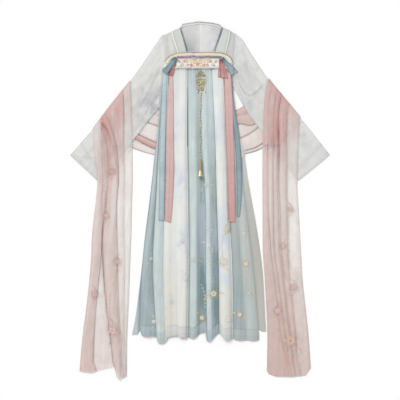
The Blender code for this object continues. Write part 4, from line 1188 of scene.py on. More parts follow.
    def panel(self, wardrobe: Wardrobe, first: int, last: int, slot: Slot) -> Laid:
        """One panel between two fold lines, pleated, gathered at its top and rippled down its length.

        Args:
            wardrobe: Gives the height of what it lies on.
            first: Its first fold line.
            last: Its last fold line.
            slot: Its cloth, for the look of its single layer below the lining's hem.

        Returns:
            The laid cloth.
        """
        at = np.array([fold.at for fold in self.pleats.folds], float)
        columns = Columns.between(self.pleats.folds, first, last, np.diff(at, axis=0).max(axis=1))
        down = np.linspace(0, 1, self.rows)[:, None]
        hem = np.array(self.hem, float)
        ends = np.broadcast_to(at[:, -1], (1, len(columns.line), len(at)))
        hem_x = columns.places(ends)[0] + columns.offset
        y = self.top + down * (np.interp(hem_x, hem[:, 0], hem[:, 1]) - self.top)[None, :]
        lines = smooth(self.stations, at.T, y)
        x = columns.places(lines) + columns.offset * (0.55 + 0.45 * down)
        tall = self.tall_top + down ** 1.25 * (self.tall_hem - self.tall_top)
        rise = self.pleats.crown(lines, x) * tall + columns.layer * LAYER
        rise += ripples(x, down, self.waves) * steps(down, 0, 0.25) * (0.6 + 0.8 * down)
        rise += ripples(x, down, self.gathers) * np.exp(-(self.top - y) / self.gather_length)
        points = wardrobe.settle(np.stack([x, y], axis=-1) * MM, np.maximum(rise, 0) * MM, 8 * MM, 22 * MM)
        over_hem = y - y[-1:]
        shade = self.pleats.shading(lines, x, down, 1.0)
        sheer = steps(over_hem, self.hem_band + 3, self.hem_band - 3)
        shade = shade * (1 - 0.4 * sheer) + self.sheer_hem[slot][0] * sheer
        tint = self.pleats.tinting(lines, x, columns, down, 1.0, 11.0)
        tint += 0.65 * sheer * (self.sheer_hem[slot][1] - tint)
        for at, dark in ((self.hem_band, 0.2), (self.hem_band - 28, 0.22), (3.0, 0.3)):
            shade += dark * hump(over_hem, at, 1.5)
        shade += 0.12 * np.exp(-(self.top - y) / 30)
        return Laid(points, tint=tint, shade=shade, stain_and_painted_light=creases(x, y, self.tone_clouds))

    def lay_front(self, wardrobe: Wardrobe) -> None:
        """Lays the six panels side by side over the back."""
        laid = [self.panel(wardrobe, first, last, slot) for _, first, last, slot in self.panels]
        wardrobe.lay(*[cloth.points for cloth in laid])
        for cloth, (name, _, _, slot) in zip(laid, self.panels):
            node = f"skirt_front_{name}"
            wardrobe.cloth(f"{node}_cloth", cloth, slot, (node,), ("skirt_back",))


# ---------------------------------------------------------------- the shirt

@dataclass
class Sleeve:
    """One sleeve of the shirt, a flat tube from the armhole to the open cuff."""

    side: str
    spans: Rows
    folds: Rows
    marks: tuple[tuple[Rows, float, float, float], ...] = ()  # line, its shade, its half width and its height
    tone_clouds: Rows = ()
    puff: float = 1.6
    gap: float = 1.1  # between its two layers, in millimetres
    bend: float = 0.55  # radius of its folds, in millimetres
    hidden: float = 0.68  # share of what lies behind it that its cloth hides
    waves: Rows = ((0.25, 37.0, 1.6, 0.3), (0.15, 19.0, -1.3, 0.6))
    rows: int = 120
    columns: int = 46

    def around(self, low: Array | float, front: Array | float) -> Array:
        """Values round the tube: its back panel, the three columns at a fold, its front, and the other fold.

        Args:
            low: Values on the back panel and at the folds.
            front: Values on the front panel.

        Returns:
            The values, rows by all the columns.
        """
        panel = np.zeros((self.rows, self.columns))
        bend = np.zeros((self.rows, 3)) + np.mean(low)
        return np.concatenate([panel + low, bend, (panel + front)[:, ::-1], bend], axis=1)

    def lay(self, wardrobe: Wardrobe) -> Laid:
        """Lays the tube: back panel, three columns round each fold, and the front panel with its creases.

        Args:
            wardrobe: Gives the height of what it lies on.

        Returns:
            The laid tube, its columns running round it.
        """
        flat = ladder(self.spans, self.rows, self.columns)
        x, y = flat[..., 0] / MM, flat[..., 1] / MM
        down = np.linspace(0, 1, self.rows)[:, None]
        s = np.linspace(0, 1, self.columns)[None, :]
        base = wardrobe.settle(flat, 0.0, 6 * MM, 6 * MM)
        hills = creases(s, down, self.folds)
        rise = self.puff * np.sqrt(np.clip(4 * s * (1 - s), 0, 1)) + hills
        rise += ripples(s * 180, down, self.waves)
        shade = 0 * rise
        for line, dark, wide, tall in self.marks:
            near = hump(near_line(x, y, line), 0, wide)
            shade += dark * near
            rise += tall * near
        puffed = self.gap + np.maximum(rise, 0.0) * steps(np.minimum(s, 1 - s), 0, 0.10)
        front = base + UP * puffed[..., None] * MM
        across = flat[:, -1] - flat[:, 0]
        width = np.linalg.norm(across, axis=1, keepdims=True)
        across = np.pad(across / width, [(0, 0), (0, 1)])
        angles = np.array([-0.9, 0.0, 0.9])[None, :, None]
        turn = (np.cos(angles) * across[:, None] + np.sin(angles) * UP) * self.bend * MM
        high_bend = (base[:, -1] + front[:, -1])[:, None] / 2 + turn
        low_bend = (base[:, 0] + front[:, 0])[:, None] / 2 - turn
        wardrobe.lay(base, front)
        fold = hump(np.minimum(s, 1 - s) * width, 0, 2.5 * MM)
        cuff = 0.3 * steps(down, 0.992, 1.0) + 0.12 * hump(down, 0.95, 0.003)
        laid = Laid(np.concatenate([base, high_bend, front[:, ::-1], low_bend], axis=1), wrapped=True)
        laid.shade = self.around(0.1, shade + 0.3 * fold) + cuff
        laid.tint = self.around(0.3, 0.3 + 0.07 * hills)
        laid.stain_and_painted_light = self.around(0.0, creases(x, y, self.tone_clouds))
        laid.cover = per_layer(self.hidden) + 0 * laid.tint
        laid.edge = (1 - down) * 0.6 + 0 * laid.tint
        return laid


@dataclass
class Shirt:
    """The sheer shirt: body, sleeves, lapels and the dark edge round its neck."""

    shoulder: Rows = (
        (-150, 702), (-124, 715), (-89, 731), (-82, 735), (-74, 749), (-62, 751.5), (-4, 760), (49, 755),
        (81, 747), (93, 736), (98, 731), (130, 720), (150, 706))
    hem: float = 300.0
    armhole_left: Rows = ((430, -141), (702, -150))
    armhole_right: Rows = ((499, 130), (706, 150))
    back_neck: Rows = ((-78, 738), (-73, 746), (-61, 749.5), (-4, 758), (48, 753), (80, 745), (88, 738))
    neck_strip: float = 10.5
    front_left: Rows = (
        (-150, 702, -82, 734), (-147, 640, -68, 687), (-145, 590, -55, 637), (-142, 500, -45, 540),
        (-141, 400, -38, 420), (-145, 300, -35, 300))
    front_right: Rows = (
        (93, 735, 150, 706), (77, 687, 147, 650), (60, 637, 141, 590), (48, 540, 130, 500),
        (38, 420, 128, 400), (33, 300, 125, 300))
    collar_left: Rows = (
        (-122, 715.5, -81, 734), (-112, 676, -67, 686), (-101, 640, -54, 637), (-90, 592, -47, 592))
    collar_right: Rows = (
        (92, 735, 130, 719), (76, 686, 124, 680), (59, 637, 114, 639), (50, 592, 104, 592))
    front_creases: Rows = (
        (0.35, 0.25, 0.10, 0.25, 0.4, 1.6), (0.7, 0.45, 0.09, 0.25, -0.4, 1.2),
        (0.5, 0.12, 0.06, 0.12, 0.8, 1.0))
    back_hidden: float = 0.9  # shares of what lies behind the cloth that it hides
    front_hidden: float = 0.85
    collar_hidden: float = 0.9
    back_grid: tuple[int, int] = (90, 84)
    front_grid: tuple[int, int] = (90, 26)
    collar_grid: tuple[int, int] = (48, 34)
    neck_grid: tuple[int, int] = (8, 60)
    sleeves: tuple[Sleeve, ...] = (
        Sleeve("left", (
            (-141.3, 430, -150.3, 702), (-160, 411, -163, 696), (-172, 394, -188, 661),
            (-215, 342, -225, 605),
            (-257, 287, -256, 561), (-300, 231, -296, 505), (-343, 170, -382, 396), (-385, 128, -446, 312),
            (-438.5, 84.5, -551, 190)),
            ((0.30, 0.18, 0.07, 0.16, 0.6, 3.2), (0.62, 0.30, 0.08, 0.14, 0.6, 2.6),
             (0.45, 0.46, 0.06, 0.12, 0.6, 3.0), (0.74, 0.55, 0.07, 0.15, 0.6, 2.2),
             (0.30, 0.72, 0.07, 0.16, 0.6, 3.0), (0.66, 0.86, 0.07, 0.12, 0.6, 2.6),
             (0.20, 0.40, 0.03, 0.20, -0.4, 1.6), (0.52, 0.22, 0.025, 0.22, -0.7, -1.2)),
            ((((-501, 183), (-470, 178), (-446, 176), (-425, 181)), 0.28, 2.0, 0.8),
             (((-243, 470), (-262, 420), (-300, 372)), 0.10, 6.0, 1.0),
             (((-176, 560), (-215, 470), (-240, 430)), 0.08, 7.0, 1.2),
             (((-150, 622), (-148, 520), (-143, 436)), 0.12, 2.0, 0.3)),
            ((-208, 405, 44, 52, -0.4, 0.95), (-262, 350, 34, 40, -0.5, 0.6), (-168, 440, 22, 30, 0.0, 0.6),
             (-330, 300, 40, 30, 0.5, 0.25), (-480, 150, 30, 40, 0.0, 0.2))),
        Sleeve("right", (
            (130.3, 499, 150.3, 706), (146, 472, 163, 697), (160, 445, 185, 675), (181, 407, 213, 628),
            (218, 347, 258, 560), (259, 296, 296, 506), (320, 214, 385, 398), (369, 142, 467, 299),
            (417, 82, 551, 192)),
            ((0.30, 0.18, 0.07, 0.16, 0.6, 3.2), (0.62, 0.30, 0.08, 0.14, 0.6, 2.6),
             (0.45, 0.46, 0.06, 0.12, 0.6, 3.0), (0.74, 0.55, 0.07, 0.15, 0.6, 2.2),
             (0.30, 0.72, 0.07, 0.16, 0.6, 3.0), (0.66, 0.86, 0.07, 0.12, 0.6, 2.6),
             (0.36, 0.24, 0.02, 0.12, 0.1, 2.2), (0.80, 0.36, 0.03, 0.2, -0.5, 1.4)),
            ((((166, 497), (178, 474), (191, 456), (204, 447), (217, 444), (228, 449), (240, 461),
               (263, 486)), 0.42, 2.2, 1.2),
             (((150, 500), (166, 470), (191, 390), (226, 340), (264, 300)), 0.16, 2.2, 0.6),
             (((382, 278), (420, 277), (446, 278)), 0.26, 2.0, 0.8),
             (((150, 622), (143, 560), (132, 502)), 0.15, 2.0, 0.3),
             (((176, 640), (200, 560), (214, 500)), 0.08, 7.0, 1.2)),
            ((205, 415, 40, 50, 0.4, 0.45), (182, 560, 20, 40, 0.0, 0.3), (330, 330, 40, 30, 0.0, 0.2))))

    @staticmethod
    def side_x(armhole: Rows, y: Array) -> Array:
        """Where the body's side runs at each y: the straight line through the armhole's two ends."""
        (low_y, low_x), (top_y, top_x) = armhole
        return low_x + (y - low_y) * (top_x - low_x) / (top_y - low_y)

    def lay(self, wardrobe: Wardrobe) -> None:
        """Lays the back, the sleeves, the fronts, then the lapels and the edge of the neck."""
        shoulder = np.array(self.shoulder, float)
        rows, columns = self.back_grid
        share = np.linspace(0, 1, columns)
        top_x = shoulder[0, 0] + share * (shoulder[-1, 0] - shoulder[0, 0])
        top_y = np.interp(top_x, shoulder[:, 0], shoulder[:, 1])
        down = np.linspace(0, 1, rows)[:, None]
        y = top_y + down * (self.hem - top_y)
        x = self.side_x(self.armhole_left, y) * (1 - share) + self.side_x(self.armhole_right, y) * share
        waves = ripples(x, down, ((0.5, 60, 0.5, 0.2), (0.3, 33, -0.8, 0.5))) * steps(down, 0, 0.08)
        back = wardrobe.settle(np.stack([x, y], axis=-1) * MM, np.maximum(waves, 0) * MM)
        wardrobe.lay(back)
        seam = hump(x, 3, 1.6) + 0.3 * hump(x, 12, 1.6)
        neck = steps(np.abs(x), 92, 80) * steps(y, 600, 625)
        corner = steps(-x, -30, 60) * (0.35 + 0.65 * steps(-y, -720, -640))
        laid = Laid(back, tint=0.5 - 0.02 * neck - 0.5 * seam * neck,
                    shade=0.55 * neck * corner * (1 - seam.clip(0, 1)),
                    stain_and_painted_light=neck * (0.5 * steps(x, 10, 50) + 0.2 * hump(x, -20, 20)),
                    cover=per_layer(self.back_hidden))
        wardrobe.cloth("shirt_back_cloth", laid, Slot.sheer_shirt, ("shirt_back",),
                       ("skirt_back", "shawl_back"))
        for sleeve in self.sleeves:
            nodes = (f"sleeve_{sleeve.side}_back", f"sleeve_{sleeve.side}_front")
            wardrobe.cloth(f"sleeve_{sleeve.side}_cloth", sleeve.lay(wardrobe), Slot.sheer_shirt, nodes,
                           ("shawl_back",))
        self.lay_fronts(wardrobe)
        self.lay_collar(wardrobe)

    def lay_fronts(self, wardrobe: Wardrobe) -> None:
        """Lays both fronts, each with three soft creases and a pressed edge."""
        fronts = []
        rows, columns = self.front_grid
        s, t = np.linspace(0, 1, columns)[None, :], np.linspace(0, 1, rows)[:, None]
        for side, spans, armhole, column, tint in (("left", self.front_left, self.armhole_left, 0, 0.68),
                                                   ("right", self.front_right, self.armhole_right, -1, 1.05)):
            plan = ladder(spans, rows, columns)
            plan[:, column, 0] = self.side_x(armhole, plan[:, column, 1] / MM) * MM
            rise = creases(s, t, self.front_creases)
            # Paler on the crease ridges: painted highlight.
            laid = Laid(wardrobe.settle(plan, rise * MM), tint=tint - 0.12 * rise,
                        cover=per_layer(self.front_hidden))
            laid.shade = 0.1 * hump(np.minimum(s, 1 - s), 0, 0.03) + 0 * t
            fronts.append((side, laid))
        wardrobe.lay(*[laid.points for _, laid in fronts])
        for side, laid in fronts:
            wardrobe.cloth(f"shirt_front_{side}_cloth", laid, Slot.sheer_shirt, (f"shirt_front_{side}",),
                           ("shirt_back",))

    def lay_collar(self, wardrobe: Wardrobe) -> None:
        """Lays both lapels with their dark inner edge and pale outer seam, and the strip at the back neck."""
        pieces = []
        sheer = per_layer(self.collar_hidden)
        for side, spans, inner, broad, pale in (("left", self.collar_left, 1, 6.0, 1.0),
                                                ("right", self.collar_right, 0, 8.5, 0.75)):
            plan = ladder(spans, *self.collar_grid)
            away = arc_length(plan, 1) / MM
            if inner:
                away = away[:, -1:] - away
            far = arc_length(plan, 1)[:, -1:] / MM - away
            edge = steps(away, broad + 0.8, broad - 0.8) * (1 - 0.35 * hump(away, broad / 2, 1.2))
            seam = pale * hump(far, 3, 1.8)
            points = wardrobe.settle(plan, (0.5 * steps(away, 0, 3) * steps(far, 0, 3) + 0.4 * seam) * MM)
            pieces.append((f"collar_{side}", Laid(
                points, tint=edge + (1 - edge) * (0.40 - 0.38 * seam), shade=0.12 * hump(far, 8, 3),
                cover=sheer + np.maximum(edge, seam.clip(0, 1)) * (1 - sheer))))
        rows, columns = self.neck_grid
        down = np.linspace(0, 1, rows)[:, None]
        line = polyline(self.back_neck, np.linspace(0, 1, columns))
        strip = (line[None] - down[..., None] * (0, self.neck_strip)) * MM
        dark = steps(down, 0.42, 0.25)
        pieces.append(("collar_back", Laid(wardrobe.settle(strip), tint=0.32 + 0.5 * dark,
                                           cover=sheer + dark * (1 - sheer))))
        wardrobe.lay(*[laid.points for _, laid in pieces])
        for name, laid in pieces:
            wardrobe.cloth(f"{name}_cloth", laid, Slot.collar_trim, (name,), ("shirt_back",))


# ---------------------------------------------------------------- the shawl

def beside_fold(sleeve: Rows, row: Array, offset: float) -> Array:
    """The points of a row moved to a sleeve's top fold and so far outside it.

    Args:
        sleeve: The sleeve's table of edges.
        row: Points in metres.
        offset: Distance outside the fold, in millimetres.

    Returns:
        The moved points.
    """
    edges = np.asarray(sleeve, float)
    fold = smooth(np.arange(len(edges)), edges[:, 2:], np.linspace(0, len(edges) - 1, FOLD_POINTS)) * MM
    nearest = [np.argmin(np.linalg.norm(fold - end, axis=1)) for end in (row[0], row[-1])]
    share = np.linalg.norm(row - row[0], axis=1) / np.linalg.norm(row[-1] - row[0])
    place = nearest[0] + share * (nearest[1] - nearest[0])
    k = np.arange(len(fold))
    slope = np.gradient(fold, axis=0)
    at, tangent = (np.stack([np.interp(place, k, table[:, i]) for i in (0, 1)], -1)
                   for table in (fold, slope))
    outward = np.stack([-tangent[:, 1], tangent[:, 0]], -1) / np.linalg.norm(tangent, axis=1)[:, None]
    if outward[0] @ (edges[:, :2].mean(axis=0) * MM - at[0]) > 0:
        outward = -outward
    return at + outward * offset * MM


@dataclass(frozen=True)
class Spread:
    """A pleated length of cloth spread between its edges, in rows by columns."""

    columns: Columns
    row: Array  # place of each row in the tables
    down: Array  # the same as a share of the length
    width: Array
    tucked: Array  # share of the tucks that is still folded
    lines: Array  # place of every fold line at each point
    across: Array  # share of the width at each point
    plan: Array  # in millimetres


@dataclass
class ShawlPart:
    """One part of the shawl: the swoop, or an end that comes round a sleeve's upper fold."""

    side: str
    spans: Rows
    hem: Rows
    pleats: Pleats
    sleeve: Rows = ()  # edges of the sleeve that it comes round
    faded: float = 0.0  # how far its low part is washed to the stain colour
    # The narrow paler lines among the creases are painted highlights; the rest makes the dye deeper or paler.
    dyes_and_highlights: Rows = ()  # share across and down, half width and length, slant and tint of deeper or paler places
    darts: Rows = ()  # the same for the shade of short creases
    opened: float = 0.0  # share of its tucks that opens out towards its hem
    hidden: float = 0.58  # share of what lies behind its palest cloth that it hides
    rise: tuple[float, ...] = (1.5, 4.0, 5.0, 7.0, 8.5, 9.0, 9.0, 9.5, 10.0, 10.0, 9.0)  # mm, down its length
    roll: tuple[float, ...] = (5.0, 4.6, 3.6, 2.2, 0.4, -1.6, -3.5)  # mm outside the fold, row by row
    rows: int = 236
    waves: Rows = ((0.35, 31.0, 0.8, 0.2), (0.25, 17.0, -1.2, 0.5), (0.12, 9.1, 1.7, 0.8))

    def spread(self, widest: float, step: float = STEP) -> Spread:
        """The part spread between its edges, its fold lines drifting across it as they run down.

        Args:
            widest: Its greatest width, for the number of its columns.
            step: Distance between columns, in millimetres.

        Returns:
            Its columns and the plan of its points.
        """
        at = np.array([fold.at for fold in self.pleats.folds], float)
        widths = np.diff(at, axis=0).max(axis=1) * widest
        columns = Columns.between(self.pleats.folds, 0, len(at) - 1, widths, step)
        last = at.shape[1] - 1
        row = np.linspace(0, last, self.rows)
        down = (row / last)[:, None]
        edges = smooth(np.arange(len(self.spans)), np.asarray(self.spans, float),
                       np.clip(row, 0, len(self.spans) - 1))
        width = np.linalg.norm(edges[:, 2:] - edges[:, :2], axis=1)[:, None]
        lines = np.repeat(smooth(np.arange(last + 1), at.T, row)[:, None, :], len(columns.line), axis=1)
        tucked = 1 - self.opened * steps(down, 0.5, 0.9)
        s = columns.places(lines) + columns.offset * tucked / width
        plan = (1 - s[..., None]) * edges[:, None, :2] + s[..., None] * edges[:, None, 2:]
        return Spread(columns, row, down, width, tucked, lines, s, plan)

    def lay(self, wardrobe: Wardrobe) -> Laid:
        """Lays the end: its folds drift across it as they run down, and its hem follows its own outline.

        Args:
            wardrobe: Gives the height of what it lies on.

        Returns:
            The laid cloth.
        """
        cloth = self.spread(170.0)
        s, down, width, lines, columns = cloth.across, cloth.down, cloth.width, cloth.lines, cloth.columns
        blend = np.clip(cloth.row - (len(self.spans) - 1), 0, 1)[:, None, None]
        plan = ((1 - blend) * cloth.plan + blend * polyline(self.hem, s[-1])[None]) * MM
        height = smooth(np.arange(len(self.rise)), self.rise, cloth.row)[:, None]
        layers = columns.layer * LAYER * cloth.tucked * steps(down, 0, 0.04)
        rise = self.pleats.crown(lines, s) * height + layers
        rise += ripples(s * width, down, self.waves) * steps(down, 0.02, 0.15)
        darts = creases(s, down, self.darts)
        points = wardrobe.settle(plan, np.maximum(rise + 1.5 * darts, 0) * MM)
        ends = np.stack([np.column_stack([beside_fold(self.sleeve, plan[0], offset), 0 * s[0]])
                         for offset in self.roll])
        over = wardrobe.settle(ends[..., :2])[..., 2]
        climb = np.sin(np.linspace(0, np.pi / 2, len(self.roll) + 1))[:-1, None] ** 0.6
        ends[..., 2] = (1 - climb) * 1.0 * MM + climb * over
        grid = np.concatenate([ends, points[1:]])
        extra = len(self.roll) - 1
        pad = [(extra, 0), (0, 0)]
        tint = self.pleats.tinting(lines, s, columns, down, width, 12.0) + creases(s, down, self.dyes_and_highlights)
        fading = np.pad(self.faded * steps(down, 0.3, 0.8) * (0.4 + 0.6 * tint.clip(0, 1)), pad, mode="edge")
        tint = np.pad(tint, pad, mode="edge")
        shade = np.pad(self.pleats.shading(lines, s, down, width) + darts.clip(0, 1), pad, mode="edge")
        away = arc_length(grid, 1) / MM
        rim = hump(to_rim(away), 0, 1.8)
        laid = Laid(grid, tint=tint, shade=shade + 0.42 * rim, stain_and_painted_light=fading)
        laid.cover = (per_layer(self.hidden) + 0.34 * np.clip(tint, -0.5, 1) + 0.25 * shade.clip(0, 1)
                      + 0.3 * rim)
        return laid


@dataclass
class Shawl:
    """The long shawl: its swoop behind the skirt, and its two ends."""

    back_spans: Rows = (
        (-453, 303, -297, 505), (-370, 262, -262, 462), (-282, 218, -205, 414), (-192, 190, -150, 378),
        (-96, 174, -75, 356), (0, 168, 0, 347), (96, 174, 75, 356), (190, 194, 150, 381),
        (262, 218, 196, 410), (345, 282, 244, 463), (424, 355, 288, 511))
    back_pleats: Pleats = Pleats(
        folds=(
            Fold((0.00,) * 11, 0.0, 0, (0.5, 0.7, 0.9, 0.8, 0.5, 0.5, 0.5, 1.2, 1.3, 1.0, 0.6), 2.6),
            Fold((0.10, 0.12, 0.17, 0.12, 0.10, 0.08, 0.07, 0.06, 0.07, 0.10, 0.12), 0.1, 5, 0.9, 3.0),
            Fold((0.25, 0.28, 0.30, 0.28, 0.32, 0.34, 0.36, 0.38, 0.42, 0.42, 0.38), 0.2, 0, 0.8, 2.5),
            Fold((0.50, 0.55, 0.60, 0.64, 0.62, 0.62, 0.65, 0.69, 0.53, 0.55, 0.55), 0.1, 0, 0.8, 2.5),
            Fold((0.80, 0.80, 0.84, 0.84, 0.84, 0.84, 0.84, 0.86, 0.80, 0.78, 0.76), 0.1, 4, 0.3, 3.0),
            Fold((1.00,) * 11, 0.0, 0, 0.3, 2.0)),
        lobes=(
            Lobe(0.7, 0.9, (0.2, 0.2, 0.15, 0.05, 0.1, 0.1, 0.1, 0.05, 0.1, 0.3, 0.3)),
            Lobe(1.0, 0.9, (0.5, 0.6, 0.85, 0.85, 0.4, 0.2, 0.2, 0.2, 0.2, 0.4, 0.4)),
            Lobe(0.8, 0.9, (0.3, 0.2, 0.1, 0.1, 0.1, 0.1, 0.1, 0.2, 0.3, 0.4, 0.4)),
            Lobe(0.7, 0.9, (0.3, 0.3, 0.15, 0.15, 0.2, 0.3, 0.4, 0.55, 0.6, 0.5, 0.4)),
            Lobe(0.6, 0.9, (0.3, 0.3, 0.1, 0.1, 0.2, 0.3, 0.4, 0.6, 0.65, 0.5, 0.4))))
    back_rise: tuple[float, ...] = (0.0, 1.2, 3.0, 3.6, 2.5, 2.0, 2.5, 3.6, 3.0, 1.2, 0.0)
    left_spans: Rows = (
        (-453, 303, -297, 505), (-453, 262, -291, 400), (-447, 173, -288, 260), (-436, 77, -286, 100),
        (-443, -5, -289, -10), (-459, -151, -292, -150), (-463, -255, -296, -255), (-481, -440, -303, -440),
        (-499, -577, -309, -577), (-509, -690, -311, -690))
    left_hem: Rows = (
        (-512, -728), (-457, -731), (-408, -714), (-364, -702), (-354, -751), (-347, -761.5), (-311, -746))
    left_pleats: Pleats = Pleats(
        folds=(
            Fold((0.00,) * 11),
            Fold((0.18, 0.20, 0.17, 0.13, 0.15, 0.24, 0.23, 0.21, 0.24, 0.27, 0.28), 0.25, 6,
                 (0.1, 0.15, 0.1, 0.2, 0.3, 0.5, 0.6, 0.6, 0.5, 0.3, 0.2), 2.5),
            Fold((0.24, 0.30, 0.36, 0.33, 0.30, 0.28, 0.32, 0.48, 0.635, 0.725, 0.74), 0.10, -7,
                 (0.2, 0.2, 0.1, 0.1, 0.15, 0.6, 0.7, 0.7, 0.7, 0.6, 0.5), 2.5),
            Fold((0.30, 0.42, 0.57, 0.58, 0.56, 0.62, 0.66, 0.745, 0.84, 0.885, 0.92), 0.05, 6,
                 (0.3, 0.5, 0.5, 0.7, 0.7, 0.5, 0.35, 0.3, 0.35, 0.4, 0.5), 2.5),
            Fold((0.80, 0.79, 0.76, 0.75, 0.76, 0.80, 0.84, 0.88, 0.92, 0.95, 0.96), 0.25, 5,
                 (0.7, 0.8, 0.3, 0.1, 0.1, 0.15, 0.15, 0.15, 0.15, 0.15, 0.15), 2.5),
            Fold((1.00,) * 11)),
        lobes=(
            Lobe(0.7, 0.8, (0.3, 0.2, 0.3, 0.4, 0.35, 0.4, 0.45, 0.45, 0.5, 0.55, 0.6)),
            Lobe(0.8, 0.8, (0.8, 0.75, 0.65, 0.5, 0.45, 0.3, 0.12, 0.08, 0.15, 0.25, 0.2)),
            Lobe(1.0, 0.7, (0.85, 0.8, 0.7, 0.55, 0.45, 0.40, 0.35, 0.42, 0.46, 0.45, 0.4)),
            Lobe(0.6, 0.9, (0.75, 0.7, 0.4, 0.15, 0.08, 0.10, 0.10, 0.12, 0.15, 0.15, 0.25)),
            Lobe(0.45, 0.7, (0.35, 0.3, 0.12, 0.05, 0.03, 0.03, 0.02, 0.02, 0.03, 0.05, 0.2))))
    # Narrow paler lines (tint below 0, half width under 0.02) are painted highlights on the creases.
    left_dyes_and_highlights: Rows = (
        (0.34, 0.10, 0.10, 0.05, 0.3, 0.35), (0.26, 0.05, 0.05, 0.03, 0.0, 0.4),
        (0.66, 0.08, 0.08, 0.05, 0.0, 0.2),
        (0.50, 0.38, 0.040, 0.10, 0.0, -1.0), (0.92, 0.18, 0.08, 0.05, 0.0, -0.2),
        (0.5, 0.62, 0.12, 0.05, 0.0, 0.12),
        (0.40, 0.10, 0.016, 0.05, 1.5, -0.5), (0.52, 0.06, 0.03, 0.03, 0.6, -0.4),
        (0.30, 0.15, 0.012, 0.05, 0.4, -0.4),
        (0.72, 0.12, 0.016, 0.06, 0.0, -0.3), (0.46, 0.20, 0.012, 0.06, 0.4, -0.3),
        (0.36, 0.24, 0.03, 0.04, 0.0, 0.3))
    left_darts: Rows = (
        (0.25, 0.070, 0.011, 0.030, 1.4, 0.8), (0.31, 0.090, 0.010, 0.040, 1.7, 0.7),
        (0.22, 0.085, 0.010, 0.02, 0.6, 0.6),
        (0.36, 0.120, 0.010, 0.045, 1.3, 0.6), (0.43, 0.150, 0.010, 0.05, 0.9, 0.4),
        (0.27, 0.125, 0.008, 0.03, 0.9, 0.5),
        (0.55, 0.110, 0.012, 0.05, -0.3, 0.3), (0.47, 0.080, 0.010, 0.04, 0.6, 0.25),
        (0.33, 0.175, 0.008, 0.05, 0.3, 0.3),
        (0.40, 0.210, 0.008, 0.05, 0.2, 0.3), (0.26, 0.220, 0.008, 0.06, 0.0, 0.25),
        (0.62, 0.17, 0.010, 0.04, -0.4, 0.3),
        (0.40, 0.420, 0.010, 0.10, 0.05, 0.2), (0.34, 0.55, 0.008, 0.08, 0.0, 0.2),
        (0.10, 0.70, 0.012, 0.15, 0.0, 0.15))
    right_spans: Rows = (
        (288, 511, 424, 355), (275, 440, 420, 300), (268, 300, 417, 225), (266, 190, 415, 150),
        (265, 73, 413, 73), (266, -38, 420, -50), (267, -213, 429, -213), (276, -350, 437, -350),
        (286, -560, 459, -550), (285, -690, 469, -680))
    right_hem: Rows = ((284, -727), (293, -741), (326, -751), (383, -752), (448, -746), (471, -715))
    right_pleats: Pleats = Pleats(
        folds=(
            Fold((0.00,) * 11),
            Fold((0.11, 0.11, 0.12, 0.13, 0.14, 0.135, 0.19, 0.24, 0.30, 0.44, 0.48), 0.25, 5,
                 (0.1, 0.1, 0.1, 0.3, 0.35, 0.4, 0.5, 0.5, 0.5, 0.3, 0.1), 2.5),
            Fold((0.30, 0.30, 0.31, 0.32, 0.33, 0.32, 0.32, 0.38, 0.45, 0.52, 0.55), 0.15, -6,
                 (0.1, 0.1, 0.2, 0.45, 0.35, 0.25, 0.2, 0.15, 0.1, 0.0, 0.0), 2.5),
            Fold((0.40, 0.39, 0.42, 0.44, 0.45, 0.46, 0.46, 0.50, 0.55, 0.60, 0.63), 0.05, 7,
                 (0.7, 0.85, 0.85, 0.7, 0.4, 0.25, 0.2, 0.15, 0.1, 0.05, 0.0), 3.0),
            Fold((0.68, 0.67, 0.70, 0.71, 0.71, 0.70, 0.68, 0.68, 0.70, 0.72, 0.74), 0.10, -6,
                 (0.4, 0.5, 0.3, 0.35, 0.35, 0.35, 0.3, 0.25, 0.25, 0.3, 0.2), 2.5),
            Fold((1.00,) * 11)),
        lobes=(
            Lobe(0.5, 0.9, (0.7, 0.65, 0.65, 0.5, 0.45, 0.45, 0.5, 0.6, 0.7, 0.75, 0.8)),
            Lobe(0.9, 0.8, (0.75, 0.75, 0.75, 0.35, 0.3, 0.3, 0.35, 0.55, 0.75, 0.85, 0.9)),
            Lobe(1.0, 0.8, (0.85, 0.8, 0.95, 0.5, 0.4, 0.35, 0.4, 0.55, 0.7, 0.8, 0.85)),
            Lobe(0.8, 0.7, (0.85, 0.8, 0.75, 0.4, 0.35, 0.3, 0.35, 0.5, 0.62, 0.7, 0.75)),
            Lobe(0.5, 0.6, (0.55, 0.45, 0.2, 0.12, 0.08, 0.02, 0.05, 0.22, 0.4, 0.5, 0.55))))
    # Narrow paler lines (tint below 0, half width under 0.02) are painted highlights on the creases.
    right_dyes_and_highlights: Rows = (
        (0.42, 0.19, 0.05, 0.03, 0.0, 0.5), (0.25, 0.225, 0.05, 0.020, 0.0, 0.3),
        (0.90, 0.2, 0.1, 0.08, 0.0, -0.2),
        (0.20, 0.262, 0.05, 0.010, 0.0, -0.3), (0.78, 0.50, 0.10, 0.08, 0.0, -0.1),
        (0.45, 0.92, 0.15, 0.05, 0.0, 0.2), (0.30, 0.34, 0.05, 0.06, 0.0, -0.15),
        (0.20, 0.10, 0.05, 0.05, 0.0, -0.25),
        (0.52, 0.10, 0.02, 0.05, -0.2, -0.3), (0.39, 0.26, 0.010, 0.04, 0.0, -0.6),
        (0.28, 0.26, 0.010, 0.05, 0.0, -0.4),
        (0.55, 0.20, 0.014, 0.05, 0.1, -0.3), (0.12, 0.24, 0.02, 0.04, 0.0, -0.3))
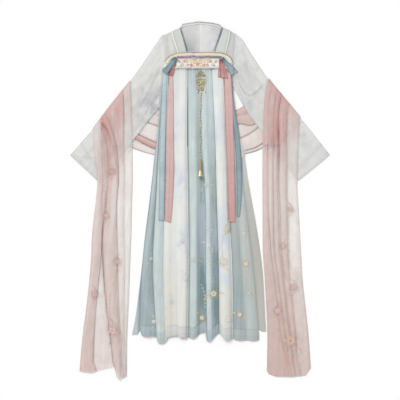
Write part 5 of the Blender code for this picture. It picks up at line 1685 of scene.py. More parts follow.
    right_darts: Rows = (
        (0.37, 0.17, 0.010, 0.03, 0.4, 0.5), (0.42, 0.18, 0.008, 0.03, 0.2, 0.6),
        (0.33, 0.175, 0.008, 0.02, 0.0, 0.4),
        (0.14, 0.26, 0.008, 0.05, 0.0, 0.5), (0.23, 0.25, 0.007, 0.04, 0.0, 0.35),
        (0.33, 0.255, 0.008, 0.04, 0.0, 0.6),
        (0.42, 0.265, 0.009, 0.05, 0.0, 0.6), (0.48, 0.270, 0.008, 0.05, 0.0, 0.5),
        (0.60, 0.27, 0.008, 0.04, 0.0, 0.3),
        (0.18, 0.12, 0.020, 0.06, 0.2, 0.15), (0.55, 0.12, 0.015, 0.05, -0.3, 0.3),
        (0.62, 0.16, 0.010, 0.05, -0.3, 0.35),
        (0.28, 0.08, 0.012, 0.04, -0.3, 0.2), (0.25, 0.50, 0.007, 0.10, 0.0, 0.2),
        (0.64, 0.60, 0.007, 0.12, 0.0, 0.2),
        *((0.03 + 0.035 * k, 0.262 - 0.0022 * k, 0.010, 0.003 + 0.003 * (k % 2), 0.0, 0.7)
          for k in range(14)))

    right_rise: tuple[float, ...] = (1.5, 4.0, 5.0, 7.0, 8.5, 9.0, 8.5, 7.0, 5.0, 4.0, 3.5)

    def lay_back(self, wardrobe: Wardrobe, sleeves: tuple[Sleeve, ...]) -> None:
        """Lays the swoop behind the skirt, from the left sleeve's fold to the right one's."""
        swoop = ShawlPart("back", self.back_spans, (), self.back_pleats, hidden=0.6, rise=self.back_rise,
                          rows=200)
        cloth = swoop.spread(200.0, 6.0)
        s, down, width, lines, columns = cloth.across, cloth.down, cloth.width, cloth.lines, cloth.columns
        plan = cloth.plan * MM
        for row, sleeve in ((0, sleeves[0]), (-1, sleeves[1])):
            plan[row] = beside_fold(sleeve.spans, plan[row], swoop.roll[0])
        height = smooth(np.arange(len(swoop.rise)), swoop.rise, cloth.row)[:, None]
        rise = swoop.pleats.crown(lines, s) * height
        rise += columns.layer * LAYER * steps(down, 0, 0.1) * steps(down, 1, 0.9)
        points = wardrobe.settle(plan, rise * MM)
        wardrobe.lay(points)
        tint = swoop.pleats.tinting(lines, s, columns, down, width, 14.0)
        laid = Laid(points, tint=tint, shade=swoop.pleats.shading(lines, s, down, width))
        laid.cover = per_layer(swoop.hidden) + 0.4 * tint
        wardrobe.cloth("shawl_back_cloth", laid, Slot.shawl_gauze, ("shawl_back",))

    def lay_ends(self, wardrobe: Wardrobe, sleeves: tuple[Sleeve, ...]) -> None:
        """Lays both ends over the sleeves."""
        ends = [ShawlPart("left", self.left_spans, self.left_hem, self.left_pleats, sleeves[0].spans,
                          0.45, self.left_dyes_and_highlights, self.left_darts),
                ShawlPart("right", self.right_spans, self.right_hem, self.right_pleats, sleeves[1].spans,
                          0.75, self.right_dyes_and_highlights, self.right_darts, 0.75, rise=self.right_rise)]
        laid = [end.lay(wardrobe) for end in ends]
        wardrobe.lay(*[cloth.points for cloth in laid])
        for end, cloth in zip(ends, laid):
            wardrobe.cloth(f"shawl_{end.side}_cloth", cloth, Slot.shawl_gauze, (f"shawl_{end.side}",),
                           (f"sleeve_{end.side}_front",))


# ---------------------------------------------------------------- the chest and its ties

def spiral(size: float, turns: float, start: float, count: int) -> Array:
    """Scroll in millimetres about the origin: a circle with a radius that shrinks as (1 - u)^0.8."""
    u = np.linspace(0, 1, count)
    return circle(TURN * (start + turns * u), size * (1 - u) ** 0.8)


@dataclass
class Stitching:
    """Gathers the stitches, knots and petals of a piece of embroidery and lays them on the heap."""

    wardrobe: Wardrobe
    forms: list[Form] = field(default_factory=list)
    colours: list[Array] = field(default_factory=list)

    def place(self, plan: Array, lift: float) -> Array:
        """Points in millimetres put on the topmost cloth, and so much above it in metres."""
        metres = np.asarray(plan, float) * MM
        height = self.wardrobe.heap.skin(metres[:, 0], metres[:, 1]) + lift
        return np.column_stack([metres, height])

    def add(self, form: Form, colour: Colour) -> None:
        """Adds a form in one colour."""
        self.forms.append(form)
        self.colours.append(np.tile(colour, (len(form.points), 1)))

    def line(self, plan: Array, colour: Colour, width: float = 0.9) -> None:
        """Couched thread along a line in millimetres."""
        self.add(tube(self.place(plan, THREAD_LIFT), width / 2 * MM, 4, 0.8), colour)

    def satin(self, near: Array, far: Array, width: Array | float, height: float, colour: Colour) -> None:
        """Satin stitches between places in millimetres, their width and height in metres."""
        self.add(strokes(self.place(near, SATIN_LIFT), self.place(far, SATIN_LIFT), width, height), colour)

    def petals(self, centre: Array, size: float, turn: float, colour: Colour, count: int = 5) -> None:
        """Blossom of satin stitch: petal j fans out five stitches about the angle turn + j / count.

        Args:
            centre: Its middle in millimetres.
            size: Its radius in millimetres.
            turn: Its turn as a share of a full circle.
            colour: Thread colour.
            count: Its petals.
        """
        fan = np.array([-0.08, -0.04, 0.0, 0.04, 0.08])
        ray = circle(TURN * (turn + np.arange(count)[:, None] / count + fan))
        reach = size * (1 - 0.25 * (fan / fan[-1]) ** 2)[:, None]
        near = (centre + ray * size * 0.28).reshape(-1, 2)
        far = (centre + ray * reach).reshape(-1, 2)
        self.satin(near, far, size * 0.2 * MM, 0.4 * MM, colour)

    def sprig(self, start: Array | tuple[float, float], turn: float, reach: float, stem: Colour,
              leaf: Colour, bend: float, pairs: int = 3) -> None:
        """A bent stem with pairs of small leaves and a bud at its tip.

        Args:
            start: Where it grows from, in millimetres.
            turn: Its direction as a share of a full circle.
            reach: Its length in millimetres.
            stem: Thread of the stem.
            leaf: Thread of the leaves.
            bend: How far it turns along its length, as a share of a full circle.
            pairs: Pairs of leaves.
        """
        count = 4 * pairs + 2
        share = np.linspace(0, 1, count)
        angle = TURN * (turn + bend * share)
        step = circle(angle) * reach / (count - 1)
        line = np.asarray(start, float) + np.cumsum(step, axis=0)
        self.line(line, stem, 0.7)
        k = np.repeat(4 * np.arange(pairs) + 4, 2)
        away = angle[k] + np.tile([0.75, -0.75], pairs)
        out = circle(away) * (reach * 0.78 / pairs) * (1.1 - share[k])[:, None] ** 0.6
        self.satin(line[k], line[k] + out, 1.7 * MM, 0.35 * MM, leaf)
        self.knots(line[-1:], 2.4, leaf)

    def knots(self, places: Array, size: float, colour: Colour) -> None:
        """Small round knots or beads of one diameter in millimetres."""
        at = self.place(places, size * 0.35 * MM)
        self.add(ball(8, 4).repeated(at, np.tile(np.eye(3) * size / 2 * MM, (len(at), 1, 1))), colour)

    def finish(self, name: str) -> None:
        """Puts all of it into one piece."""
        piece = make_piece(name, Form.joined(self.forms), colours=np.concatenate(self.colours))
        self.wardrobe.dress(piece, Slot.embroidery_thread)


def graded(tones: tuple[Colour, ...], points: int, sides: int) -> Array:
    """Colours of a tube along which the tones follow each other evenly, ring by ring and then its caps."""
    table = np.array(tones)
    rings = smooth(np.linspace(0, points - 1, len(table)), table, np.arange(points))
    return np.concatenate([np.repeat(rings, sides, axis=0), table[[0, -1]]])


@dataclass
class Chest:
    """The chest band with its bound edge, twisted cord and embroidered strip."""

    arc: Rows = (
        (-150, 585), (-141, 599), (-124, 613), (-98, 623), (-50, 626), (0, 626), (50, 626), (90, 624),
        (116, 615), (131, 603), (139, 585))
    low_left: float = -156.0
    low_right: float = 135.0
    low: float = 556.3
    binding_width: float = 14.0
    band: tuple[float, float, float, float] = (-100.0, 80.0, 601.0, 559.0)
    cord: Rows = ((-100, 605.5), (-50, 606.5), (46, 606.5), (92, 605.5))
    cord_radius: float = 2.5
    cord_points: int = 260
    cord_tones: tuple[Colour, ...] = (
        linear(176, 122, 122), linear(158, 108, 150), linear(146, 110, 172), linear(132, 108, 118),
        linear(86, 100, 98), linear(96, 112, 112))
    strands: tuple[float, ...] = (1.5, 0.95, 0.5)  # how bright each is
    strand_turns: float = 13.0
    strand_sides: int = 7
    piping_gap: float = 2.2  # from the band's arc
    piping_radius: float = 1.5
    piping_span: tuple[int, int] = (34, 96)  # of the binding's columns
    piping_sides: int = 6
    piping_tones: tuple[Colour, ...] = (
        linear(176, 214, 212), linear(178, 212, 214), linear(206, 196, 222), linear(214, 202, 220),
        linear(226, 220, 206), linear(222, 218, 208))
    scrolls: Rows = (  # x and y from the strip's middle, radius, turns and start of each scroll
        (14, 6, 13, 1.3, 0.0), (15, -8, 9, -1.1, 0.4), (33, 2, 12, -1.2, 0.3), (48, 8, 8, 1.2, 0.1),
        (62, -5, 7, -1.2, 0.2), (76, 4, 6, 1.1, 0.1))
    blossoms: Rows = (  # x and y from the strip's middle, radius and thread of each blossom
        (26, -9, 6.5, CORAL), (42, -8, 6.0, LAVENDER), (56, 8, 5.5, CORAL), (70, -10, 5.0, LEAF),
        (80, 9, 4.5, LAVENDER), (10, 13, 5.0, GOLD))
    band_grid: tuple[int, int] = (22, 76)
    binding_grid: tuple[int, int] = (20, 120)
    strip_grid: tuple[int, int] = (22, 84)

    def lay_band(self, wardrobe: Wardrobe) -> None:
        """Lays the band between its arc and its straight low edge."""
        rows, columns = self.band_grid
        share = np.linspace(0, 1, columns)
        arc = polyline(self.arc, share)
        low = np.stack([self.low_left + share * (self.low_right - self.low_left), 0 * share + self.low], -1)
        down = np.linspace(0, 1, rows)[:, None]
        plan = (arc * (1 - down[..., None]) + low * down[..., None]) * MM
        rise = (2.5 + ripples(share * 290, down, ((0.3, 21, 0.1, 0.1), (0.15, 9, 0.0, 0.5))) * down
                ) * steps(down, 1.1, 0.75)
        points = wardrobe.settle(plan, rise * MM)
        wardrobe.lay(points)
        wardrobe.cloth("chest_band_cloth", Laid(points, tint=0.1), Slot.skirt_white, ("chest_band",),
                       ("shirt_front_left", "shirt_front_right"))

    def lay_binding(self, wardrobe: Wardrobe) -> None:
        """Lays the bound edge, brown on top and cream under it, and the thin coloured cord above it."""
        rows, columns = self.binding_grid
        share = np.linspace(0, 1, columns)
        arc = polyline(self.arc, share)
        tangent = np.gradient(arc, axis=0)
        normal = np.stack([tangent[:, 1], -tangent[:, 0]], -1) / np.linalg.norm(tangent, axis=1)[:, None]
        for _ in range(3):
            normal[1:-1] = (normal[:-2] + 2 * normal[1:-1] + normal[2:]) / 4
        across = np.linspace(-1, self.binding_width - 1, rows)[:, None]
        plan = (arc + normal * across[..., None]) * MM
        rise = 0.7 * hump(across, 0.3, 1.6) + 0.5 * hump(across, 7, 4.0) + 0 * share
        points = wardrobe.settle(plan, rise * MM)
        wardrobe.lay(points)
        line = hump(across, 0.8, 1.9)
        # The middle of the arc, where a painted highlight lies on the bound edge and its brown line is
        # painted paler.
        middle = hump(share, 0.56, 0.12)
        # The pale yellow laid a little inside the brown line along the middle is a painted highlight.
        laid = Laid(points, tint=0.95 * line * (1 - 0.4 * middle) + 0.1 * steps(across, 8, 13),
                    stain_and_painted_light=0.8 * middle * hump(across, 3.6, 1.6),
                    shade=0.5 * hump(across, -1, 0.7) + 0.35 * line * steps(share, 0.62, 0.72))
        wardrobe.cloth("top_binding_cloth", laid, Slot.binding, ("top_binding",), ("chest_band",))
        route = (arc - normal * self.piping_gap)[slice(*self.piping_span)]
        height = wardrobe.heap.skin(route[:, 0] * MM, route[:, 1] * MM) + 0.9 * MM
        radii = self.piping_radius * MM * np.sin(np.linspace(0.1, np.pi - 0.1, len(route))) ** 0.3
        piping = tube(np.column_stack([route * MM, height]), radii, self.piping_sides, 0.7)
        colours = graded(self.piping_tones, len(route), self.piping_sides)
        wardrobe.dress(make_piece("top_binding_piping", piping, colours=colours), Slot.twisted_cord)

    def lay_strip(self, wardrobe: Wardrobe) -> None:
        """Lays the embroidered strip, then its scrolls, blossoms and hanging gold specks."""
        left, right, top, low = self.band
        rows, columns = self.strip_grid
        plan = ladder(((left, top, right, top), (left, low, right, low)), rows, columns)
        s, t = np.linspace(0, 1, columns)[None, :], np.linspace(0, 1, rows)[:, None]
        rise = 0.5 * np.sin(np.pi * t) ** 0.5 + ripples(s * 180, t, ((0.2, 33, 0.2, 0.4),))
        points = wardrobe.settle(plan, rise * MM)
        wardrobe.lay(points)
        laid = Laid(points, tint=0.10 + 0.3 * hump(s, 0.55, 0.14) + 0 * t,
                    stain_and_painted_light=0.6 * steps(-s, -0.4, -0.1) * steps(-t, -0.6, -0.2))
        wardrobe.cloth("embroidered_band_cloth", laid, Slot.embroidery, ("embroidered_band",),
                       ("chest_band",))
        work = Stitching(wardrobe)
        middle, centre = (left + right) / 2, (top + low) / 2
        for side in (-1, 1):
            for x, y, size, turns, start in self.scrolls:
                scroll = spiral(size, turns, start, 26) * (side, 1) + (middle + side * x, centre + y)
                work.line(scroll, (GOLD, OLD_GOLD, LAVENDER)[(x > 40) + (x > 55)], 1.9)
            for x, y, size, colour in self.blossoms:
                at = np.array([[middle + side * x, centre + y]])
                work.petals(at, size, 0.1 * x, colour)
                work.knots(at, 2.2, CREAM)
        heart = np.array([[middle, centre - 3.0]])
        work.petals(heart, 9.0, 0.05, CORAL)
        work.petals(heart, 5.5, 0.15, LAVENDER)
        work.knots(heart, 3.0, GOLD)
        x = np.linspace(left + 3, right - 3, 46)
        work.knots(np.stack([x, 0 * x + top - 2], -1), 1.6, GOLD)
        work.knots(np.stack([x, 0 * x + low + 2.2], -1), 2.6, CREAM)
        work.knots(np.stack([x + 2, 0 * x + low + 5.5], -1), 1.3, OLD_GOLD)
        work.finish("band_embroidery")

    def lay_cord(self, wardrobe: Wardrobe) -> None:
        """Lays the cord as three strands wound round its route, and its lane on the heap."""
        share = np.linspace(0, 1, self.cord_points)
        last = len(self.cord) - 1
        route = smooth(np.arange(last + 1), np.array(self.cord, float), share * last) * MM
        height = wardrobe.heap.over(route[:, 0], route[:, 1], 3 * MM, 3 * MM) + self.cord_radius * MM
        path = np.column_stack([route, height])
        radii = self.cord_radius * 0.56 * MM * (1 - 0.5 * np.abs(2 * share - 1) ** 40)
        tones = graded(self.cord_tones, self.cord_points, self.strand_sides)
        forms, colours = [], []
        for k, bright in enumerate(self.strands):
            angle = TURN * (self.strand_turns * share + k / len(self.strands))
            wound = path.copy()
            wound[:, 1] += np.cos(angle) * self.cord_radius * 0.5 * MM
            wound[:, 2] += np.sin(angle) * self.cord_radius * 0.5 * MM
            forms.append(tube(wound, radii, self.strand_sides))
            colours.append((tones * bright).clip(0, 0.9))
        piece = make_piece("waist_cord_strands", Form.joined(forms), colours=np.concatenate(colours))
        wardrobe.dress(piece, Slot.twisted_cord, "waist_cord")
        lane = np.stack([path + (0, off * MM, 0) for off in (-2.5, 0, 2.5)])
        lane[..., 2] += self.cord_radius * MM
        wardrobe.heap.lay(lane)


@dataclass(frozen=True)
class Strip:
    """One ribbon: its edges, its tint at both ends, its shade and height across it, and its knot."""

    node: str
    slot: Slot
    spans: Rows
    tint: tuple[float, float]
    dark: tuple[float, ...] = (0.05, 0.0, 0.08, 0.0, 0.1)
    crowns: tuple[float, ...] = (0.2, 0.7, 0.9, 0.7, 0.2)  # heights across it in millimetres
    knot: float = 0.35  # shade where it starts
    edge_shadow: float = 0.0  # painted shadow on its first edge near the start


@dataclass
class Ribbons:
    """The four long ribbons that hang from the chest band, and the four short ends folded out beside it."""

    long: tuple[Strip, ...] = (
        Strip("ribbon_teal_left", Slot.ribbon_teal, (
            (-158, 548, -138, 548), (-164, 400, -143, 400), (-170, 250, -146, 250), (-174, 0, -150, 0),
            (-176, -88, -152, -88)), (0.0, 0.35), (0.1, 0.0, 0.0, 0.05, 0.15)),
        Strip("ribbon_teal_right", Slot.ribbon_teal, (
            (122, 540, 133, 540), (130, 400, 146, 400), (146, 270, 167, 270), (153, 128, 177, 128),
            (156, 0, 176, 0), (157, -71, 169, -71)), (0.66, 0.58), (0.3, 0.1, 0.0, 0.05, 0.15)),
        Strip("ribbon_pink_left", Slot.ribbon_pink, (
            (-131, 548, -114, 548), (-138, 400, -112, 400), (-143, 300, -112, 300), (-146, 128, -110, 128),
            (-148, 0, -115, 0), (-149, -88, -124, -97)), (0.12, 0.38),
            (0.0, 0.0, 0.12, 0.02, 0.12), edge_shadow=0.85),
        Strip("ribbon_pink_right", Slot.ribbon_pink, (
            (100, 548, 130, 548), (104, 400, 140, 400), (107, 300, 142, 300), (114, 128, 147, 128),
            (118, 0, 149, 0), (122, -93, 149, -95)), (0.28, 0.6), (0.12, 0.0, 0.08, 0.0, 0.15), edge_shadow=0.6))
    short: tuple[Strip, ...] = (
        Strip("tie_pink_left", Slot.ribbon_pink, (
            (-110, 598, -101, 598), (-118, 565, -107, 562), (-131, 529, -115, 525)), (1.0, 0.75),
            (0.5, 0.05, 0.45, 0.0, 0.3), (0.0, 1.0, 0.2, 1.0, 0.0), 0.7, 0.5),
        Strip("tie_pink_right", Slot.ribbon_pink, (
            (82, 596, 95, 596), (80, 560, 107, 560), (76, 521, 119, 514)), (0.85, 0.6),
            (0.15, 0.05, 0.4, 0.0, 0.0, 0.35, 0.0, 0.2), (0.0, 1.4, 0.3, 1.6, 1.0, 0.3, 1.2, 0.0), 0.5),
        Strip("tie_teal_left", Slot.ribbon_teal, (
            (-108, 606, -94, 598), (-134, 577, -117, 564), (-161, 549, -141, 531)), (0.9, 0.65),
            (0.2, 0.0, 0.05, 0.0, 0.15), (0.0, 0.9, 0.7, 0.9, 0.0), 0.4),
        Strip("tie_teal_right", Slot.ribbon_teal, (
            (92, 601, 99, 606), (112, 562, 130, 575), (131, 528, 163, 544)), (0.85, 0.4),
            (0.25, 0.0, 0.0, 0.05, 0.3), (0.0, 0.9, 0.8, 0.9, 0.0), 0.4))
    long_grid: tuple[int, int] = (150, 16)
    short_grid: tuple[int, int] = (40, 24)

    @staticmethod
    def strip(wardrobe: Wardrobe, ribbon: Strip, rows: int, columns: int) -> Laid:
        """One strip: lengthwise crowns that grow down it, darker where it comes out of the knot.

        Args:
            wardrobe: Gives the height of what it lies on.
            ribbon: Its sizes and shades.
            rows: Rows down it.
            columns: Columns across it.

        Returns:
            The laid strip.
        """
        plan = ladder(ribbon.spans, rows, columns)
        s, t = np.linspace(0, 1, columns), np.linspace(0, 1, rows)[:, None]
        height = smooth(np.linspace(0, 1, len(ribbon.crowns)), np.array(ribbon.crowns), s)
        shade = smooth(np.linspace(0, 1, len(ribbon.dark)), np.array(ribbon.dark), s)
        rise = height * steps(t, 0, 0.5) + ripples(s * 30, t, ((0.12, 11, 1.5, 0.2),))
        points = wardrobe.settle(plan, np.maximum(rise, 0) * MM, 4 * MM, 4 * MM)
        away = arc_length(points, 1) / MM
        hem = 0.35 * hump(to_rim(away), 0, 0.9)
        down = arc_length(points, 0) / MM
        # Painted shadow along the first edge near the start, beside the knot.
        hem += ribbon.edge_shadow * steps(down, 75, 45) * hump(away, 0, 2.2)
        ends = ribbon.knot * hump(down, 0, 14) + 0.3 * hump(down[-1:] - down, 0, 1.5)
        first, last = ribbon.tint
        return Laid(points, tint=first + (last - first) * t + 0 * s, shade=shade + hem + ends)

    def lay(self, wardrobe: Wardrobe, table: tuple[Strip, ...], rows: int, columns: int) -> None:
        """Lays a table of strips, the first two side by side and then the other two over them."""
        for pair in (table[:2], table[2:]):
            laid = [self.strip(wardrobe, ribbon, rows, columns) for ribbon in pair]
            wardrobe.lay(*[strip.points for strip in laid])
            for strip, ribbon in zip(laid, pair):
                wardrobe.cloth(f"{ribbon.node}_cloth", strip, ribbon.slot, (ribbon.node,), ("chest_band",))

    def lay_long(self, wardrobe: Wardrobe) -> None:
        """Lays the long ribbons."""
        self.lay(wardrobe, self.long, *self.long_grid)

    def lay_short(self, wardrobe: Wardrobe) -> None:
        """Lays the short ends."""
        self.lay(wardrobe, self.short, *self.short_grid)


# ---------------------------------------------------------------- the pendant

@dataclass
class Filigree:
    """Gathers wires and grains of metal at one height, each over a wider, darker copy: painted shade round
    it.
    """

    height: float
    forms: list[Form] = field(default_factory=list)
    shades: list[Array] = field(default_factory=list)

    def add(self, form: Form, shade: float) -> None:
        """Adds a form with one shade value."""
        self.forms.append(form)
        self.shades.append(np.full(len(form.points), shade))

    def wire(self, plan: Array, radius: float, shade: float) -> None:
        """A wire along a line in mm, over painted shade: a darker copy 0.7 mm lower and 0.3 mm wider on each
        side.
        """
        # The second pass is the darker copy under the wire: painted shade round it.
        for wider, lower, wear_and_shade in ((0.0, 0.0, shade), (0.3, 0.7, 0.8)):
            path = np.column_stack([plan * MM, np.full(len(plan), self.height - lower * MM)])
            self.add(tube(path, (radius + wider) * MM, 6), wear_and_shade)

    def grains(self, places: Array, size: float, shade: float) -> None:
        """Round grains of one diameter in millimetres, each over a darker copy as painted shade."""
        # The second pass is the darker copy under each grain: painted shade round it.
        for wider, lower, wear_and_shade in ((0.0, -0.3, shade), (0.7, 0.7, 0.8)):
            at = np.column_stack([places * MM, np.full(len(places), self.height - lower * MM)])
            axes = np.diag([size + wider, size + wider, min(size, 3.2)]) / 2 * MM
            self.add(ball(8, 4).repeated(at, np.tile(axes, (len(at), 1, 1))), wear_and_shade)

    def finish(self, wardrobe: Wardrobe, name: str, *nodes: str) -> None:
        """Puts all of it into one piece."""
        piece = make_piece(name, Form.joined(self.forms), {"shade": np.concatenate(self.shades)})
        wardrobe.dress(piece, Slot.gilt_metal, *nodes)


@dataclass
class Pendant:
    """The ornament that hangs from the band: fan, drop, pearls, chain of beads, long bead and bell."""

    x: float = 4.0
    fan: tuple[float, float, float] = (548.0, 523.0, 21.0)
    drop: tuple[float, float, float] = (511.0, 460.8, 22.5)
    pearls: Rows = ((-12, 461), (4, 457), (20, 461))
    chain: Rows = (
        (4, 453.2), (2, 424), (3, 396), (-1, 360), (2, 320), (0, 285), (2, 250), (-1, 215), (1, 190),
        (1, 171.8))
    bead_step: float = 13.5
    bead_axis: float = 5.6  # above the cloth
    bell_axis: float = 11.0
    clapper: float = 3.4
    pearl_radius: float = 3.5
    small_radius: float = 1.35
    thread_radius: float = 0.75
    fan_curls: Rows = (  # x and y, radius and turns of each curl
        (4.8, 11, 4.4, 1.1), (12.0, 5.5, 4.4, -1.1), (5.0, 3, 2.6, -0.9))
    drop_curls: Rows = ((13.0, 503, 5.4, 1.2), (8.5, 491, 4.6, -1.1), (5.0, 479, 3.4, 1.0))
    thread_points: int = 140
    thread_sides: int = 8
    bead: Rows = ((171.5, 2.4), (170.5, 5.3), (166, 5.5), (131, 5.5), (127, 5.3), (126, 2.4))
    bell: Rows = (
        (125.7, 3.0), (124.5, 4.4), (120, 5.2), (113, 6.8), (106, 9.6), (103, 10.4), (101.5, 11), (100, 10.6),
        (101.5, 9.8), (106, 8.4), (113, 5.6), (118, 3.8))

    def arch(self, angle: Array, half: float, tall: float) -> Array:
        """Pointed arch over the fan's low edge: (x + half cos φ, low + tall (1 - |cos φ|^1.5))."""
        return np.stack([self.x + half * np.cos(angle),
                         self.fan[1] + tall * (1 - np.abs(np.cos(angle)) ** 1.5)], -1)

    def turned(self, profile: Rows, centre: float, height: float, sides: int, lobes: int) -> Form:
        """Turned form lying along Y: its profile's radii carried round the axis, with shallow lobes."""
        table = np.array(profile, float) * MM
        angle = np.linspace(0, TURN, sides, endpoint=False)
        path = np.column_stack([0 * table[:, 0] + centre, table[:, 0], 0 * table[:, 0] + height])
        form = tube(path, table[:, 1], sides)
        ring = np.stack([np.cos(angle), 0 * angle, np.sin(angle)], -1)
        ring *= (1 + 0.06 * np.cos(lobes * angle))[:, None]
        count = len(table) * sides
        form.points[:count] = (path[:, None] + table[:, 1, None, None] * ring[None]).reshape(-1, 3)
        return form

    def metal(self, wardrobe: Wardrobe, name: str, forms: list[Form], nodes: tuple[str, ...],
              wear_and_shade: float) -> bpy.types.Object:
        """Puts metal forms into one piece with one shade value for the whole."""
        form = Form.joined(forms)
        piece = make_piece(name, form, {"shade": np.full(len(form.points), wear_and_shade)})
        wardrobe.dress(piece, Slot.gilt_metal, *nodes)
        return piece

    def lay(self, wardrobe: Wardrobe) -> None:
        """Lays the ornament down the middle of the skirt: first the fan, a pointed arch filled with curls."""
        base = wardrobe.heap.under(self.x * MM, 0.49, 20 * MM, 10 * MM)
        top, low, half = self.fan
        height = base + 1.6 * MM
        work = Filigree(height)
        angle = np.linspace(0, np.pi, 40)
        for share, shade in ((1.0, 0.75), (0.62, 0.55)):
            work.wire(self.arch(angle, half * share, (top - low) * share), 0.9, shade)
        for side in (-1, 1):
            for x, y, size, turns in self.fan_curls:
                curl = spiral(size, turns, 0.2, 22) * (side, 1) + (self.x + side * x, low + y)
                work.wire(curl, 0.9, 0.4)
        work.grains(self.arch(angle[2:-2:3], half + 1, top - low), 2.6, 0.35)
        work.grains(np.array([[self.x, top - 3], [self.x, top - 9], [self.x, low + 1]]), 4.2, 0.45)
        work.finish(wardrobe, "pendant_fan_filigree", "pendant_fan")
        self.lay_drop(wardrobe, height)
        self.lay_chain(wardrobe)

    def lay_drop(self, wardrobe: Wardrobe, height: float) -> None:
        """Lays the pierced drop, filled with curls about a flower, then its pearls and their strings."""
        top, low, half = self.drop
        work = Filigree(height)
        down = np.linspace(0, 1, 24)
        wide = 1.5 + (half - 1.5) * (1 - down) ** 0.8
        for side in (-1, 1):
            rim = np.stack([self.x + side * wide, top - down * (top - low)], -1)
            work.wire(rim, 1.1, 0.1)
            for x, y, size, turns in self.drop_curls:
                curl = spiral(size, turns, 0.25, 22) * (side, 1) + (self.x + side * x, y)
                work.wire(curl, 1.25, 0.0)
            work.grains(rim[1::3], 3.0, 0.0)
            twigs = spiral(4.2, 0.9, 0.4, 16) * (side, 1) + (self.x + side * 13, 467)
            work.wire(twigs, 0.8, 0.9)
        bar = np.linspace(-half, half, 14)
        work.wire(np.stack([self.x + bar, top + 3 * np.cos(bar / half * np.pi / 2)], -1), 1.2, 0.15)
        turn = np.arange(6) * np.pi / 3
        work.grains(circle(turn, 4.6) + (self.x, 499), 4.6, 0.0)
        work.grains(np.array([[self.x, y] for y in (499, 488, 481, 475, 469)]), 4.4, 0.1)
        work.finish(wardrobe, "pendant_drop_filigree", "pendant_drop")
        for k, (x, y) in enumerate(self.pearls, 1):
            ground = float(wardrobe.heap.skin(np.array([x * MM]), np.array([y * MM]))[0])
            centre = np.array([[x * MM, y * MM, max(ground + self.pearl_radius * MM, height)]])
            pearl = ball(20, 12).repeated(centre, np.array([np.eye(3) * self.pearl_radius * MM]))
            wardrobe.dress(make_piece(f"pendant_pearl_{k}_round", pearl), Slot.pearl, f"pendant_pearl_{k}")
        work = Filigree(height)
        ring = np.linspace(0, TURN, 14)
        for x, y in self.pearls:
            work.wire(np.stack([x + 2.2 * np.cos(ring), y + 4.4 + 0.8 * np.sin(ring)], -1), 0.8, 0.8)
        work.finish(wardrobe, "pendant_pearl_caps")
        strings = []
        for side in (-1, 1):
            drop = np.linspace(0, 1, 14)
            out = 22.5 - 3 * drop + 1.2 * np.sin(7 * drop)
            strings.append(np.stack([self.x + side * out, 521 - 56 * drop], -1))
            for x in (3, 9, 15):
                drop = np.linspace(0, 1, 3)
                strings.append(np.stack([0 * drop + self.x + side * x, 521 - 7 * drop], -1))
        at = np.concatenate(strings) * MM
        at = np.column_stack([at, wardrobe.heap.skin(at[:, 0], at[:, 1]) + 1.5 * MM])
        beads = ball(8, 5).repeated(at, np.tile(np.eye(3) * self.small_radius * MM, (len(at), 1, 1)))
        wardrobe.dress(make_piece("pendant_small_pearls", beads), Slot.pearl)

    def lay_chain(self, wardrobe: Wardrobe) -> None:
        """Lays the thread and its beads down the skirt, then the long bead and the bell."""
        x = self.chain[-1][0] * MM
        bead_height = wardrobe.heap.under(x, 0.15, 8 * MM, 6 * MM) + self.bead_axis * MM
        share = np.linspace(0, 1, self.thread_points)
        table = np.array(self.chain + ((self.chain[-1][0], self.bead[-1][0] + 2),), float)
        route = smooth(np.arange(len(table)), table, share * (len(table) - 1)) * MM
        ground = wardrobe.heap.over(route[:, 0], route[:, 1], 2 * MM, 4 * MM) + 1.5 * MM
        inside = steps(route[:, 1], 0.180, 0.168)
        path = np.column_stack([route, ground * (1 - inside) + bead_height * inside])
        length = arc_length(path[:, None], 0)[:, 0]
        form = tube(path, self.thread_radius * MM, self.thread_sides)
        thread = make_piece("pendant_chain_thread", form,
                            colours=np.tile(linear(206, 208, 200), (len(form.points), 1)))
        wardrobe.dress(thread, Slot.twisted_cord, "pendant_chain")
        shown = float(np.interp(-0.173, -route[:, 1], length))
        at = np.arange(self.bead_step * MM / 2, shown, self.bead_step * MM)
        between = np.arange(self.bead_step * MM, shown, self.bead_step * MM)
        large, small = (np.stack([np.interp(where, length, path[:, k]) for k in range(3)], -1)
                        for where in (at, between))
        beads = Form.joined([
            ball(10, 6).repeated(large, np.tile(np.diag([3.0, 3.4, 2.2]) * MM, (len(large), 1, 1))),
            ball(8, 4).repeated(small, np.tile(np.eye(3) * 1.2 * MM, (len(small), 1, 1)))])
        strung = make_piece("pendant_chain_beads", beads, {"shade": np.full(len(beads.points), 0.62)})
        wardrobe.dress(strung, Slot.gilt_metal)
        long_bead = self.metal(wardrobe, "pendant_bead_turned",
                               [self.turned(self.bead, x, bead_height, 24, 8)], ("pendant_bead",), 0.8)
        bell_ground = wardrobe.heap.under(x, 0.112, 12 * MM, 6 * MM)
        parts = [self.turned(self.bell, x, bell_ground + self.bell_axis * MM, 24, 6)]
        parts.append(ball(12, 8).repeated(np.array([[x, 0.104, bell_ground + 10 * MM]]),
                                          np.array([np.eye(3) * self.clapper * MM])))
        bell = self.metal(wardrobe, "pendant_bell_turned", parts, ("pendant_bell",), 0.5)


# ---------------------------------------------------------------- embroidered flowers

